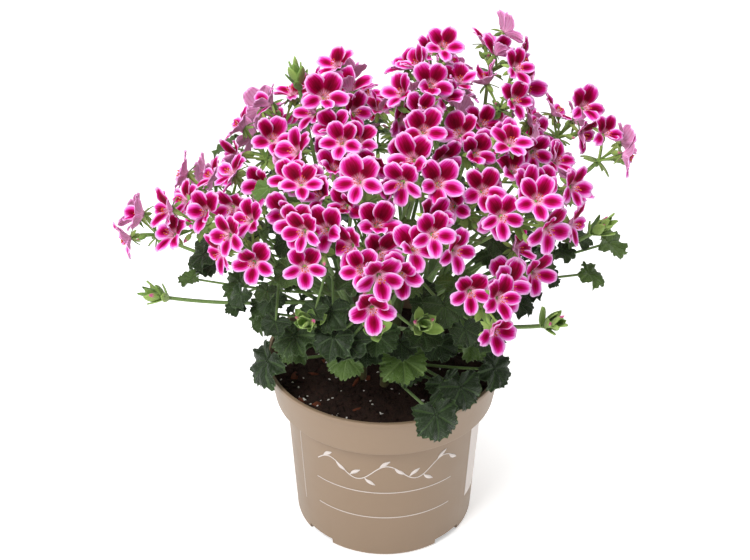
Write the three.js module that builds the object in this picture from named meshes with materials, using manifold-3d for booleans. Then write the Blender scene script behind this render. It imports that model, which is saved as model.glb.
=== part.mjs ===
// A potted angel pelargonium in full bloom, in millimetres, +Z up.
// The origin is the middle of the flat underside of the pot, and -Y is the front.
// The plant stands in sectors round the pot's axis: each sector has one leafy stem, which rises
// from its own hole in the soil and forks to the flower heads that lie in that sector.
import * as THREE from 'three';
import { mergeVertices } from 'three/addons/utils/BufferGeometryUtils.js';
import Module from 'manifold-3d';

const wasm = await Module();
wasm.setup();

const Vec = THREE.Vector3;
const TURN = 2 * Math.PI;
const DEGREE = TURN / 360;

// Pot: a round nursery pot with a stepped collar
const POT_HEIGHT = 135;
const RIM_RADIUS = 85;
const RIM_WIDTH = 2.6;
const LIP_HEIGHT = 2;
const COLLAR_BOTTOM = 104;
const COLLAR_RADIUS = 79.2;
const BODY_TOP_RADIUS = 71.4;
const BASE_RADIUS = 66.2;
const WALL = 1.4;
const FLOOR = 1.6;
const POT_SEGMENTS = 24;
const NOTCH_COUNT = 4;
const NOTCH_WIDTH = 24;
const NOTCH_HEIGHT = 5;
const NOTCH_DEPTH = 12;

// Soil
const SOIL_TOP = 121;
const SOIL_CLEARANCE = 0.4;
const SOIL_DOME = 3;

// Stems
const SECTORS = 9;
const FRONT_AZIMUTH = 270 * DEGREE;
const TRUNK_RADIUS = 3.6;
const TRUNK_FOOT = { reach: 24, height: 97 };
const TRUNK_SHIN = { reach: 24, height: 135 };
const TRUNK_KNEE = { reach: 24, height: 165 };
const TRUNK_TOP = { reach: 42, height: 205 };
const HOLE_CLEARANCE = 1.3;
const HOLE_LENGTH = 60;
const STALK_RADIUS = 1.35;
const STALK_CLEARANCE = 1.2;

// Flower heads: name, place of the middle of the blooms, number of blooms
const HEADS = [
  ['far_left', -168, -10, 246, 3],
  ['left_low', -125, -62, 281, 4],
  ['left_side', -126, 5, 267, 4],
  ['left_mid', -92, -32, 286, 4],
  ['left_front', -88, -92, 278, 4],
  ['shoulder', -87, 5, 302, 4],
  ['peak_left', -75, 40, 312, 3],
  ['peak_mid', -31, 30, 332, 4],
  ['under_peak', -34, -15, 328, 4],
  ['upper_left', -49, -40, 304, 4],
  ['big_left', -52, -80, 306, 4],
  ['ridge_left', -22, -50, 317, 4],
  ['middle_left', -12, -86, 312, 4],
  ['front_left', -43, -118, 295, 4],
  ['centre', -10, -116, 293, 3],
  ['peak_right', 35, 5, 353, 4],
  ['peak_top', 74, 30, 355, 4],
  ['right_top', 79, -5, 343, 4],
  ['crown', 23, -25, 343, 4],
  ['crown_left', 8, 22, 316, 4],
  ['crown_right', 42, 36, 312, 3],
  ['right_upper', 90, 17, 299, 4],
  ['right_ridge', 58, -28, 320, 3],
  ['right_shoulder', 121, 8, 315, 4],
  ['far_right', 150, -8, 305, 3],
  ['middle', 21, -62, 328, 4],
  ['right_mid', 70, -60, 324, 4],
  ['right_dip', 54, -85, 303, 4],
  ['mid_front', 20, -95, 326, 3],
  ['right_big', 83, -106, 309, 4],
  ['right_front', 112, -50, 288, 4],
  ['centre_right', 26, -127, 301, 4],
  ['lowest_left', -3, -142, 283, 4],
  ['lowest_right', 63, -131, 262, 4],
  ['low_right', 82, -88, 260, 3],
  ['right_gap', 101, -16, 304, 3],
  ['back_right_low', 118, 78, 238, 4],
  ['back_low', 66, 120, 245, 4],
  ['back_mid_low', -6, 132, 250, 4],
  ['back_left_low', -72, 112, 245, 4],
  ['back_side_left', -122, 66, 240, 4],
  ['back_right', 96, 62, 284, 4],
  ['back_high_right', 44, 92, 304, 4],
  ['back_high_left', -28, 98, 290, 4],
  ['back_left', -80, 74, 279, 4],
  ['crown_back', 28, 62, 328, 4],
  ['crown_back_left', -30, 66, 308, 3],
];

// Blooms
// A petal's outline is a list of share of its length and angle from its middle in degrees
const UPPER_PETAL = {
  length: 16,
  ridged: true,
  outline: [[0.74, -33], [1, -13], [1, 13], [0.74, 33]],
};
const LOWER_PETAL = {
  length: 15.3,
  ridged: false,
  outline: [[0.72, -27], [1, 0], [0.72, 27]],
};
const SMALLEST_BLOOM = 0.82;
const PETAL_VARIATION = 0.05;
const NOTCH_REACH = 3.2;
const PETAL_THICKNESS = 1.3;
const THROAT_THICKNESS = 1.7;
const MIDRIB_SHARE = 0.72;
const BLOOM_STALK = 20;
const MIDDLE_STALK = 27;
const HUB_BEHIND_MIDDLE = 18;
const HUB_RADIUS = 3.6;
const HUB_LENGTH = 7;
const HUB_BASE = 2.4;
const FOOT_IN_HUB = 1.2;
const CELL_REACH = 80;
const CELL_CLEARANCE = 0.5;
const BLOOM_INSIDE_CELL = 6.5;
const BLOOM_CLEARANCE = 0.2;
const BLOOM_ROOM = 14.5;

// The way a bloom looks: partly with its head, levelled, turned to the front, with some drift
const FACE_WITH_HEAD = 0.65;
const FACE_LEVEL = 0.5;
const FACE_FRONT = 0.26;
const FACE_DRIFT = 0.42;
const FACE_LEAST = 0.45;

// The dome that the plant fills, which gives each head its outward direction
const DOME_CENTRE = new Vec(-5, 0, 190);
const DOME_REACH = new Vec(165, 150, 165);
const UPWARD_LEAN = 0.35;

// Leaves: the outline is a list of angle from the tip in degrees and reach in leaf radii
const LEAF_HALF_OUTLINE = [
  [0, 1.08], [25, 0.98], [50, 1.1], [80, 0.95], [110, 1.04], [147, 0.66],
];
const LEAF_SINUS = [180, 0.16];
const LEAF_THICKNESS = 0.7;
const LEAF_CUP = 0.2;
const LEAF_PLEAT = 0.1;
const PETIOLE_RADIUS = 1.3;
const LEAF_TIERS = [
  { count: 12, height: 156, reach: 64, radius: 14.5, outward: 0.9, start: 0 },
  { count: 15, height: 180, reach: 80, radius: 14.5, outward: 0.8, start: 0.35 },
  { count: 14, height: 210, reach: 94, radius: 14, outward: 0.6, start: 0.7 },
  { count: 10, height: 242, reach: 88, radius: 13, outward: 0.4, start: 0.1 },
  { count: 6, height: 270, reach: 70, radius: 12, outward: 0.3, start: 0.45 },
];
const GOLDEN_ANGLE = 137.5 * DEGREE;

// The soil at the front left stays in view
const CLEARING_EDGE = 10;
const CLEARING_TOP = 166;

// Leaves that the front view shows by themselves: place, radius, outward lean of the face
const SINGLE_LEAVES = [
  [-80, -38, 153, 17, 0.9],
  [33, -98, 154, 16, 1.2],
  [24, -68, 150, 14, 1.0],
  [50, -74, 158, 15, 0.9],
  [68, -56, 154, 14, 0.9],
  [148, -18, 236, 14, 0.6],
  [134, -34, 222, 12, 0.6],
  [-131, -12, 203, 9, 0.3],
];

// Bud clusters: place of the cluster
const BUDS = [
  [-154, -15, 190],
  [-46, -108, 230],
  [-6, -118, 232],
  [22, -118, 236],
  [101, -96, 222],
  [136, -34, 254],
  [-58, 30, 330],
];

const LEAF_GREEN = new THREE.MeshStandardMaterial({ color: 0x3c5c38, roughness: 0.7, metalness: 0 });
const PETAL_PINK = new THREE.MeshStandardMaterial({ color: 0xc23a86, roughness: 0.6, metalness: 0 });
const POT_TAUPE = new THREE.MeshStandardMaterial({ color: 0xa9967f, roughness: 0.5, metalness: 0 });
const SOIL_BROWN = new THREE.MeshStandardMaterial({ color: 0x2a1a14, roughness: 1, metalness: 0 });

// A repeatable draw between 0 and 1
function draw(seed) {
  const wave = Math.sin(seed * 12.9898 + 78.233) * 43758.5453;
  return wave - Math.floor(wave);
}

function spread(seed, size) {
  return (draw(seed) - 0.5) * 2 * size;
}

// A solid from corner points and triangles
function solidFrom(points, triangles) {
  const solid = new wasm.Manifold(new wasm.Mesh({
    numProp: 3,
    vertProperties: new Float32Array(points),
    triVerts: new Uint32Array(triangles),
  }));
  return solid;
}

// A solid from a closed three.js geometry, with its faces turned outward
function solidOf(geometry) {
  geometry.deleteAttribute('normal');
  geometry.deleteAttribute('uv');
  const merged = mergeVertices(geometry);
  const index = Array.from(merged.index.array);
  const triangles = [];
  for (let i = 0; i < index.length; i += 3) {
    const [a, b, c] = index.slice(i, i + 3);
    if (a !== b && b !== c && c !== a) triangles.push(a, b, c);
  }
  const points = merged.attributes.position.array;
  const solid = solidFrom(points, triangles);
  return solid.volume() > 0 ? solid : solidFrom(points, triangles.reverse());
}

function meshOf(name, solid, material) {
  const result = solid.getMesh();
  const geometry = new THREE.BufferGeometry();
  geometry.setAttribute('position', new THREE.BufferAttribute(result.vertProperties, 3));
  geometry.setIndex(new THREE.BufferAttribute(result.triVerts, 1));
  geometry.computeVertexNormals();
  const mesh = new THREE.Mesh(geometry, material);
  mesh.name = name;
  return mesh;
}

function lathe(profile, segments) {
  const outline = profile.map(([radius, height]) => new THREE.Vector2(radius, height));
  return solidOf(new THREE.LatheGeometry(outline, segments).rotateX(Math.PI / 2));
}

// A stem of even thickness along a curve
function tube(curve, radius, sides, steps) {
  const section = new THREE.Shape();
  for (let i = 0; i < sides; i++) {
    const angle = i / sides * TURN;
    const corner = [radius * Math.cos(angle), radius * Math.sin(angle)];
    if (i === 0) section.moveTo(...corner);
    else section.lineTo(...corner);
  }
  const options = { steps, curveSegments: 1, bevelEnabled: false, extrudePath: curve };
  return solidOf(new THREE.ExtrudeGeometry(section, options));
}

function mixed(a, b, share) {
  return a.clone().multiplyScalar(1 - share).addScaledVector(b, share);
}

// The pot
function innerRadius(height) {
  const bodyShare = height / COLLAR_BOTTOM;
  const collarShare = (height - COLLAR_BOTTOM) / (POT_HEIGHT - COLLAR_BOTTOM);
  const body = BASE_RADIUS + (BODY_TOP_RADIUS - BASE_RADIUS) * bodyShare;
  const collar = COLLAR_RADIUS + (RIM_RADIUS - 1.2 - COLLAR_RADIUS) * collarShare;
  return (height < COLLAR_BOTTOM ? body : collar) - WALL;
}

function potSolid() {
  const lipFoot = POT_HEIGHT - LIP_HEIGHT;
  const shell = lathe([
    [0, 0],
    [BASE_RADIUS - 0.8, 0],
    [BASE_RADIUS, 0.8],
    [BODY_TOP_RADIUS, COLLAR_BOTTOM - 0.6],
    [COLLAR_RADIUS, COLLAR_BOTTOM],
    [RIM_RADIUS - 1.1, lipFoot],
    [RIM_RADIUS, lipFoot + 0.4],
    [RIM_RADIUS, POT_HEIGHT - 0.6],
    [RIM_RADIUS - 0.6, POT_HEIGHT],
    [RIM_RADIUS - RIM_WIDTH, POT_HEIGHT],
    [innerRadius(COLLAR_BOTTOM + 1.4), COLLAR_BOTTOM + 1.4],
    [innerRadius(COLLAR_BOTTOM - 0.1), COLLAR_BOTTOM + 0.8],
    [innerRadius(FLOOR), FLOOR],
    [0, FLOOR],
  ], POT_SEGMENTS);
  let pot = shell;
  for (let i = 0; i < NOTCH_COUNT; i++) {
    const notch = new THREE.BoxGeometry(NOTCH_DEPTH, NOTCH_WIDTH, 2 * NOTCH_HEIGHT);
    notch.translate(BASE_RADIUS, 0, 0);
    notch.rotateZ(FRONT_AZIMUTH + (i + 0.5) / NOTCH_COUNT * TURN);
    pot = pot.subtract(solidOf(notch));
  }
  return pot;
}

// The soil, with a plain hole for each stem
function soilSolid() {
  const top = SOIL_TOP;
  const edge = innerRadius(top) - SOIL_CLEARANCE;
  const foot = FLOOR + SOIL_CLEARANCE;
  const shelf = COLLAR_BOTTOM + 2;
  const body = new THREE.LatheGeometry([
    [0, foot],
    [BASE_RADIUS - 8, foot],
    [innerRadius(9) - SOIL_CLEARANCE, 9],
    [innerRadius(COLLAR_BOTTOM - 1) - SOIL_CLEARANCE, shelf],
    [innerRadius(shelf) - SOIL_CLEARANCE, shelf + 0.6],
    [edge, top],
    [edge * 0.72, top + SOIL_DOME * 0.4],
    [edge * 0.4, top + SOIL_DOME],
    [0, top + SOIL_DOME],
  ].map(([radius, height]) => new THREE.Vector2(radius, height)), POT_SEGMENTS).rotateX(Math.PI / 2);
  const place = body.attributes.position;
  for (let i = 0; i < place.count; i++) {
    const x = place.getX(i);
    const y = place.getY(i);
    const bump = 1.6 * Math.sin(x / 7) * Math.cos(y / 6) + Math.sin((x + y) / 4);
    if (place.getZ(i) > top + 0.5) place.setZ(i, place.getZ(i) + bump);
  }
  let soil = solidOf(body);
  for (let sector = 0; sector < SECTORS; sector++) {
    const radius = TRUNK_RADIUS + HOLE_CLEARANCE;
    const hole = new THREE.CylinderGeometry(radius, radius, HOLE_LENGTH, 6);
    hole.rotateX(Math.PI / 2);
    const foothold = sectorPoint(sector, TRUNK_FOOT);
    hole.translate(foothold.x, foothold.y, TRUNK_FOOT.height - 1.5 + HOLE_LENGTH / 2);
    soil = soil.subtract(solidOf(hole));
  }
  return soil;
}

// Sectors and trunks
function sectorAzimuth(sector) {
  return FRONT_AZIMUTH + sector / SECTORS * TURN;
}

function sectorPoint(sector, { reach, height }) {
  const azimuth = sectorAzimuth(sector);
  return new Vec(reach * Math.cos(azimuth), reach * Math.sin(azimuth), height);
}

function sectorOf(place) {
  const turns = (Math.atan2(place.y, place.x) - FRONT_AZIMUTH) / TURN;
  return ((Math.round(turns * SECTORS) % SECTORS) + SECTORS) % SECTORS;
}

function trunkCurve(sector) {
  const spots = [TRUNK_FOOT, TRUNK_SHIN, TRUNK_KNEE, TRUNK_TOP];
  return new THREE.CubicBezierCurve3(...spots.map((spot) => sectorPoint(sector, spot)));
}

// Flower heads
function outwardAt(place) {
  const out = place.clone().sub(DOME_CENTRE).divide(DOME_REACH).divide(DOME_REACH).normalize();
  out.z += UPWARD_LEAN;
  return out.normalize();
}

// Which way is up on a face that looks along the given direction
function upAcross(facing) {
  const up = new Vec(-0.3 * facing.x, 0.12 - 0.3 * facing.y, 1);
  return up.addScaledVector(facing, -up.dot(facing)).normalize();
}

const heads = HEADS.map(([name, x, y, z, count], number) => {
  const middle = new Vec(x, y, z);
  const axis = outwardAt(middle);
  return { name, number, middle, axis, count, sector: sectorOf(middle) };
});

// Each head keeps to its own cell, halfway to the neighbouring heads
for (const head of heads) {
  head.walls = [];
  for (const other of heads) {
    const across = other.middle.clone().sub(head.middle);
    const distance = across.length();
    if (other === head || distance > CELL_REACH) continue;
    const limit = distance / 2 - CELL_CLEARANCE;
    head.walls.push({ across: across.divideScalar(distance), limit });
  }
}

function keptInside(head, place, depth) {
  const kept = place.clone();
  for (let pass = 0; pass < 4; pass++) {
    for (const { across, limit } of head.walls) {
      const over = kept.clone().sub(head.middle).dot(across) - (limit - depth);
      if (over > 0) kept.addScaledVector(across, -over);
    }
  }
  return kept;
}

// The way that a bloom looks
function facingOf(outwards, axis, seed) {
  const drift = [1.1, 1.2, 1.3].map((step) => spread(seed + step, FACE_DRIFT));
  const facing = mixed(outwards, axis, FACE_WITH_HEAD)
    .multiply(new Vec(1, 1, FACE_LEVEL))
    .add(new Vec(0, -FACE_FRONT, 0))
    .add(new Vec(...drift))
    .normalize();
  const lack = Math.max(0, FACE_LEAST - facing.dot(outwards));
  return facing.addScaledVector(outwards, 1.5 * lack).normalize();
}

for (const head of heads) {
  const up = upAcross(head.axis);
  const side = up.clone().cross(head.axis);
  const start = head.middle.clone().addScaledVector(head.axis, -HUB_BEHIND_MIDDLE);
  head.hub = keptInside(head, start, HUB_RADIUS + 0.5);
  const ring = head.count > 3 ? head.count - 1 : head.count;
  head.blooms = [];
  for (let i = 0; i < head.count; i++) {
    const seed = head.number * 10 + i;
    const single = head.count > 3 && i === ring;
    const tilt = (single ? 6 : head.count > 3 ? 50 : 36) * DEGREE + spread(seed, 0.1);
    const spin = (i / ring + draw(head.number)) * TURN + spread(seed + 0.3, 0.2);
    const direction = head.axis.clone().multiplyScalar(Math.cos(tilt))
      .addScaledVector(side, Math.sin(tilt) * Math.cos(spin))
      .addScaledVector(up, Math.sin(tilt) * Math.sin(spin));
    const reach = (single ? MIDDLE_STALK : BLOOM_STALK) + spread(seed + 0.6, 1.5);
    const place = head.hub.clone().addScaledVector(direction, reach);
    const centre = keptInside(head, place, BLOOM_INSIDE_CELL);
    const facing = facingOf(centre.clone().sub(head.hub).normalize(), head.axis, seed);
    const cup = (16 + 12 * draw(seed + 0.8)) * DEGREE;
    const scale = SMALLEST_BLOOM + (1 - SMALLEST_BLOOM) * draw(seed + 0.9);
    head.blooms.push({ seed, centre, facing, cup, scale });
  }
  for (const bloom of head.blooms) {
    bloom.walls = head.walls.map(({ across, limit }) => (
      { across, room: limit - bloom.centre.clone().sub(head.middle).dot(across) }));
    for (const other of head.blooms) {
      const across = other.centre.clone().sub(bloom.centre);
      const distance = across.length();
      if (other === bloom) continue;
      const room = distance / 2 - BLOOM_CLEARANCE;
      bloom.walls.push({ across: across.divideScalar(distance), room });
    }
  }
}

// A point of a bloom is drawn in towards the bloom's middle where it would meet a neighbour
function trimmed({ centre, walls }, place) {
  const arm = place.clone().sub(centre);
  let share = 1;
  for (const { across, room } of walls) {
    const rise = arm.dot(across);
    if (rise > room) share = Math.min(share, room / rise);
  }
  return centre.clone().addScaledVector(arm, share);
}

// One bloom: five petals round a throat, on a stalk that tapers down into the head's hub
function bloomSolid(head, bloom) {
  const { centre, facing, cup } = bloom;
  const up = upAcross(facing);
  const side = up.clone().cross(facing);
  const spot = (angle, reach) => centre.clone()
    .addScaledVector(up, reach * Math.cos(cup) * Math.cos(angle))
    .addScaledVector(side, -reach * Math.cos(cup) * Math.sin(angle))
    .addScaledVector(facing, reach * Math.sin(cup));
  const points = [];
  const triangles = [];
  const add = (place) => points.push(place) - 1;
  const foot = add(head.hub.clone().addScaledVector(head.axis, -FOOT_IN_HUB));
  const throat = add(centre.clone().addScaledVector(facing, THROAT_THICKNESS));
  const notches = [0, 1, 2, 3, 4].map((i) => add(spot(i * 72 * DEGREE, NOTCH_REACH)));
  for (let i = 0; i < 5; i++) {
    const petal = i === 0 || i === 4 ? UPPER_PETAL : LOWER_PETAL;
    const drift = 1 + spread(bloom.seed + i * 0.13, PETAL_VARIATION);
    const size = petal.length * bloom.scale * drift;
    const middle = (36 + 72 * i) * DEGREE;
    const tips = petal.outline.map(([share, turn]) => (
      trimmed(bloom, spot(middle + turn * DEGREE, size * share))));
    const rim = [notches[i], ...tips.map(add), notches[(i + 1) % 5]];
    const mean = tips.reduce((sum, tip) => sum.add(tip), new Vec()).divideScalar(tips.length);
    const raised = mixed(centre, mean, MIDRIB_SHARE).addScaledVector(facing, PETAL_THICKNESS);
    const crest = petal.ridged ? add(raised) : throat;
    for (let k = 0; k + 1 < rim.length; k++) triangles.push(crest, rim[k + 1], rim[k]);
    if (petal.ridged) triangles.push(crest, rim[0], throat, crest, throat, rim.at(-1));
    for (let k = 1; k + 1 < rim.length; k++) triangles.push(rim[0], rim[k], rim[k + 1]);
  }
  for (const [a, b] of [[0, 2], [2, 3], [3, 0]]) triangles.push(foot, notches[a], notches[b]);
  triangles.push(notches[0], notches[1], notches[2], notches[3], notches[4], notches[0]);
  const spots = points.flatMap((place) => place.toArray());
  const solid = solidFrom(spots, triangles);
  return solid.volume() > 0 ? solid : solidFrom(spots, triangles.reverse());
}

function headSolid(head) {
  const hub = new THREE.ConeGeometry(HUB_RADIUS, HUB_LENGTH, 4);
  hub.translate(0, HUB_LENGTH / 2 - HUB_BASE, 0);
  hub.applyQuaternion(new THREE.Quaternion().setFromUnitVectors(new Vec(0, 1, 0), head.axis));
  hub.translate(...head.hub.toArray());
  const blooms = head.blooms.map((bloom) => bloomSolid(head, bloom));
  return wasm.Manifold.union([solidOf(hub), ...blooms]);
}

// Beads mark the room that each piece takes: place, radius, and the stem or head they belong to
const beads = [];

function crowding(own, sector, headName) {
  let gap = Infinity;
  for (const bead of own) {
    for (const other of beads) {
      if (sector !== undefined && other.sector === sector) continue;
      if (headName && other.head === headName) continue;
      gap = Math.min(gap, bead.place.distanceTo(other.place) - bead.radius - other.radius);
    }
  }
  return gap;
}

function beadsAlong(curve, spacing, radius, label) {
  const count = Math.ceil(curve.getLength() / spacing);
  return curve.getSpacedPoints(count).map((place) => ({ place, radius, ...label }));
}

// Beads on a round blade: the middle, then rings 6 mm apart, on a dish of the given slope
function beadsOnDisc(centre, facing, reach, slope, radius, label) {
  const up = upAcross(facing);
  const side = up.clone().cross(facing);
  const result = [{ place: centre.clone(), radius, ...label }];
  const rings = Math.round(reach / 6);
  for (let ring = 1; ring <= rings; ring++) {
    const arm = (reach - radius / 2) * ring / rings;
    for (let i = 0; i < 6 * ring; i++) {
      const angle = i / (6 * ring) * TURN;
      result.push({
        place: centre.clone()
          .addScaledVector(up, arm * Math.cos(angle))
          .addScaledVector(side, arm * Math.sin(angle))
          .addScaledVector(facing, arm * slope),
        radius,
        ...label,
      });
    }
  }
  return result;
}

for (const head of heads) {
  const label = { head: head.name };
  beads.push({ place: head.hub, radius: 4, ...label });
  for (const bloom of head.blooms) {
    const slope = Math.tan(bloom.cup);
    beads.push(...beadsOnDisc(bloom.centre, bloom.facing, BLOOM_ROOM, slope, 3, label));
    beads.push(...beadsAlong(new THREE.LineCurve3(head.hub, bloom.centre), 5, 2, label));
  }
}

const trunks = [];
for (let sector = 0; sector < SECTORS; sector++) {
  trunks.push(trunkCurve(sector));
  beads.push(...beadsAlong(trunks[sector], 5, TRUNK_RADIUS, { sector }));
}

// The stalk of a head leaves the trunk, sways clear of other growth and ends behind the hub
function stalkCurve(head, sway) {
  const trunk = trunks[head.sector];
  const share = head.share;
  const start = trunk.getPoint(share);
  const end = head.hub.clone().addScaledVector(head.axis, -HUB_BASE - 0.3);
  const length = end.distanceTo(start);
  const straight = end.clone().sub(start).divideScalar(length);
  const leave = mixed(trunk.getTangent(share), straight, 0.5);
  const near = start.clone().addScaledVector(leave, length * 0.35).addScaledVector(sway, 1.2);
  const far = end.clone().addScaledVector(head.axis, -length * 0.25).addScaledVector(sway, 0.3);
  return new THREE.CubicBezierCurve3(start, near, far, end);
}

// Low heads leave the trunk low down, and the others above them one by one
for (const head of heads) {
  const mates = heads.filter((other) => other.sector === head.sector);
  const rank = mates.filter((other) => other.middle.z < head.middle.z).length;
  head.share = 0.56 + 0.42 * (rank + 1) / mates.length;
}

for (const head of heads) {
  const straight = head.hub.clone().sub(trunks[head.sector].getPoint(0.7)).normalize();
  const side = new Vec(0, 0, 1).cross(straight).normalize();
  const lift = straight.clone().cross(side);
  let best = { gap: -Infinity };
  for (let step = 0; step < 61 && best.gap < STALK_CLEARANCE; step++) {
    const angle = step * TURN / 12;
    const size = Math.ceil(step / 12) * 6;
    const sway = side.clone().multiplyScalar(size * Math.cos(angle))
      .addScaledVector(lift, size * Math.sin(angle));
    const curve = stalkCurve(head, sway);
    const own = beadsAlong(curve, 5, STALK_RADIUS + 0.3, { sector: head.sector });
    const gap = crowding(own, head.sector, head.name);
    if (gap > best.gap) best = { gap, curve, own };
  }
  head.stalk = best.curve;
  beads.push(...best.own);
}

// Leaves
function leafBeads({ sector, start, middle, tip, facing, radius }) {
  const heart = middle.clone().addScaledVector(tip, radius * 0.12);
  return {
    blade: beadsOnDisc(heart, facing, radius * 1.06, LEAF_CUP, 2.4, { sector }),
    petiole: beadsAlong(new THREE.LineCurve3(start, middle), 5, PETIOLE_RADIUS + 0.2, { sector }),
  };
}

// Clear of the pot's rim and of the soil
function clearOfPot({ place, radius }) {
  const reach = Math.hypot(place.x, place.y);
  if (place.z - radius > POT_HEIGHT + 1) return true;
  if (reach - radius > RIM_RADIUS + 1) return true;
  return reach + radius < innerRadius(SOIL_TOP) - 2 && place.z - radius > SOIL_TOP + SOIL_DOME + 4;
}

function leafAt(middle, radius, outward) {
  const sector = sectorOf(middle);
  const away = new Vec(middle.x, middle.y, 0).normalize();
  const facing = new Vec(away.x * outward, away.y * outward, 0.75).normalize();
  const tip = away.clone().addScaledVector(facing, -away.dot(facing)).normalize();
  const height = (middle.z - 15 - TRUNK_FOOT.height) / (TRUNK_TOP.height - TRUNK_FOOT.height);
  const start = trunks[sector].getPoint(Math.min(Math.max(height, 0.36), 0.93));
  return { sector, middle, radius, facing, tip, start };
}

const leaves = [];

// A leaf that would touch other growth is drawn in and turned a little round the plant until clear
function settleLeaf(middle, radius, outward) {
  for (let step = 0; step < 28; step++) {
    const turn = [0, 7, -7, 14][step % 4] * DEGREE;
    const share = 1 - 0.05 * Math.floor(step / 4);
    const place = middle.clone();
    place.x = share * (middle.x * Math.cos(turn) - middle.y * Math.sin(turn));
    place.y = share * (middle.x * Math.sin(turn) + middle.y * Math.cos(turn));
    const leaf = leafAt(place, radius, outward);
    const { blade, petiole } = leafBeads(leaf);
    const away = [...blade, ...petiole].filter((bead) => bead.place.distanceTo(leaf.start) >= 30);
    if (!away.every(clearOfPot)) continue;
    if (crowding(blade) < 0.3 || crowding(petiole, leaf.sector) < 0.3) continue;
    leaves.push(leaf);
    beads.push(...blade, ...petiole);
    return;
  }
}

for (const [x, y, z, radius, outward] of SINGLE_LEAVES) {
  settleLeaf(new Vec(x, y, z), radius, outward);
}

for (const tier of LEAF_TIERS) {
  for (let i = 0; i < tier.count; i++) {
    const seed = tier.height + i;
    const azimuth = FRONT_AZIMUTH + tier.start * TURN + i * GOLDEN_ANGLE;
    const reach = tier.reach + spread(seed, 8);
    const height = tier.height + spread(seed + 0.5, 8);
    const place = new Vec(reach * Math.cos(azimuth), reach * Math.sin(azimuth), height);
    if (place.x < CLEARING_EDGE && place.y < 0 && height < CLEARING_TOP) continue;
    settleLeaf(place, tier.radius * (1 + spread(seed + 0.7, 0.1)), tier.outward);
  }
}

// One leaf: a thin dish with lobes and a cleft at the back, on a three-sided petiole
function leafSolid({ middle, radius, facing, tip, start }) {
  const side = facing.clone().cross(tip);
  const outline = [
    ...LEAF_HALF_OUTLINE,
    LEAF_SINUS,
    ...LEAF_HALF_OUTLINE.slice(1).reverse().map(([angle, reach]) => [360 - angle, reach]),
  ];
  const spot = (angle, reach, rise) => middle.clone()
    .addScaledVector(tip, reach * Math.cos(angle))
    .addScaledVector(side, reach * Math.sin(angle))
    .addScaledVector(facing, rise);
  const rim = outline.map(([angle, share], i) => {
    const pleat = i % 2 === 0 ? -LEAF_PLEAT : LEAF_PLEAT;
    return spot(angle * DEGREE, share * radius, radius * (LEAF_CUP * share + pleat));
  });
  const under = [0, 120, 240].map((angle) => spot(angle * DEGREE, 1.1, -LEAF_THICKNESS));
  const along = middle.clone().sub(start).normalize();
  const rootTip = tip.clone().addScaledVector(along, -tip.dot(along)).normalize();
  const rootSide = along.clone().cross(rootTip);
  const root = [0, 120, 240].map((angle) => start.clone()
    .addScaledVector(rootTip, PETIOLE_RADIUS * Math.cos(angle * DEGREE))
    .addScaledVector(rootSide, PETIOLE_RADIUS * Math.sin(angle * DEGREE)));
  const points = [...rim, ...under, ...root, middle.clone().addScaledVector(facing, LEAF_THICKNESS)];
  const count = rim.length;
  const top = points.length - 1;
  const nearest = (i) => count + Math.round(outline[i % count][0] / 120) % 3;
  const triangles = [];
  for (let i = 0; i < count; i++) {
    const next = (i + 1) % count;
    triangles.push(top, i, next);
    triangles.push(nearest(i), next, i);
    if (nearest(i) !== nearest(next)) triangles.push(nearest(i), nearest(next), next);
  }
  for (let k = 0; k < 3; k++) {
    const [a, b] = [count + k, count + (k + 1) % 3];
    triangles.push(a, b + 3, b, a, a + 3, b + 3);
  }
  triangles.push(count + 3, count + 5, count + 4);
  return solidFrom(points.flatMap((place) => place.toArray()), triangles);
}

// Buds: a few pointed drops on one thin stalk
function budSolids(place) {
  const sector = sectorOf(place);
  const start = trunks[sector].getPoint(0.8);
  const knee = mixed(start, place, 0.6);
  knee.z -= 8;
  const parts = [tube(new THREE.QuadraticBezierCurve3(start, knee, place), STALK_RADIUS, 3, 3)];
  const away = outwardAt(place);
  for (const turn of [-1, 1]) {
    const direction = new Vec(-turn * away.y, turn * away.x, 0.5).add(away).normalize();
    const bud = new THREE.OctahedronGeometry(3.2);
    bud.scale(1, 2, 1);
    bud.applyQuaternion(new THREE.Quaternion().setFromUnitVectors(new Vec(0, 1, 0), direction));
    bud.translate(...place.clone().addScaledVector(direction, 5.6).toArray());
    parts.push(solidOf(bud));
  }
  return { sector, parts };
}

function stemSolid(sector) {
  const parts = [tube(trunks[sector], TRUNK_RADIUS, 4, 3)];
  for (const head of heads) {
    if (head.sector === sector) parts.push(tube(head.stalk, STALK_RADIUS, 3, 3));
  }
  for (const leaf of leaves) {
    if (leaf.sector === sector) parts.push(leafSolid(leaf));
  }
  for (const [x, y, z] of BUDS) {
    const buds = budSolids(new Vec(x, y, z));
    if (buds.sector === sector) parts.push(...buds.parts);
  }
  return wasm.Manifold.union(parts);
}

const plant = new THREE.Group();
plant.add(meshOf('pot', potSolid(), POT_TAUPE));
plant.add(meshOf('soil', soilSolid(), SOIL_BROWN));
for (let sector = 0; sector < SECTORS; sector++) {
  plant.add(meshOf(`leafy_stem_${sector + 1}`, stemSolid(sector), LEAF_GREEN));
}
for (const head of heads) plant.add(meshOf(`flower_head_${head.name}`, headSolid(head), PETAL_PINK));

export default plant;
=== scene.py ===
# A potted angel pelargonium in full bloom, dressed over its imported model.
# The growth is laid out in millimetres from the same values as the solids, and the
# meshes are made in metres. The origin is the middle of the underside of the pot.
import math

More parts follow.
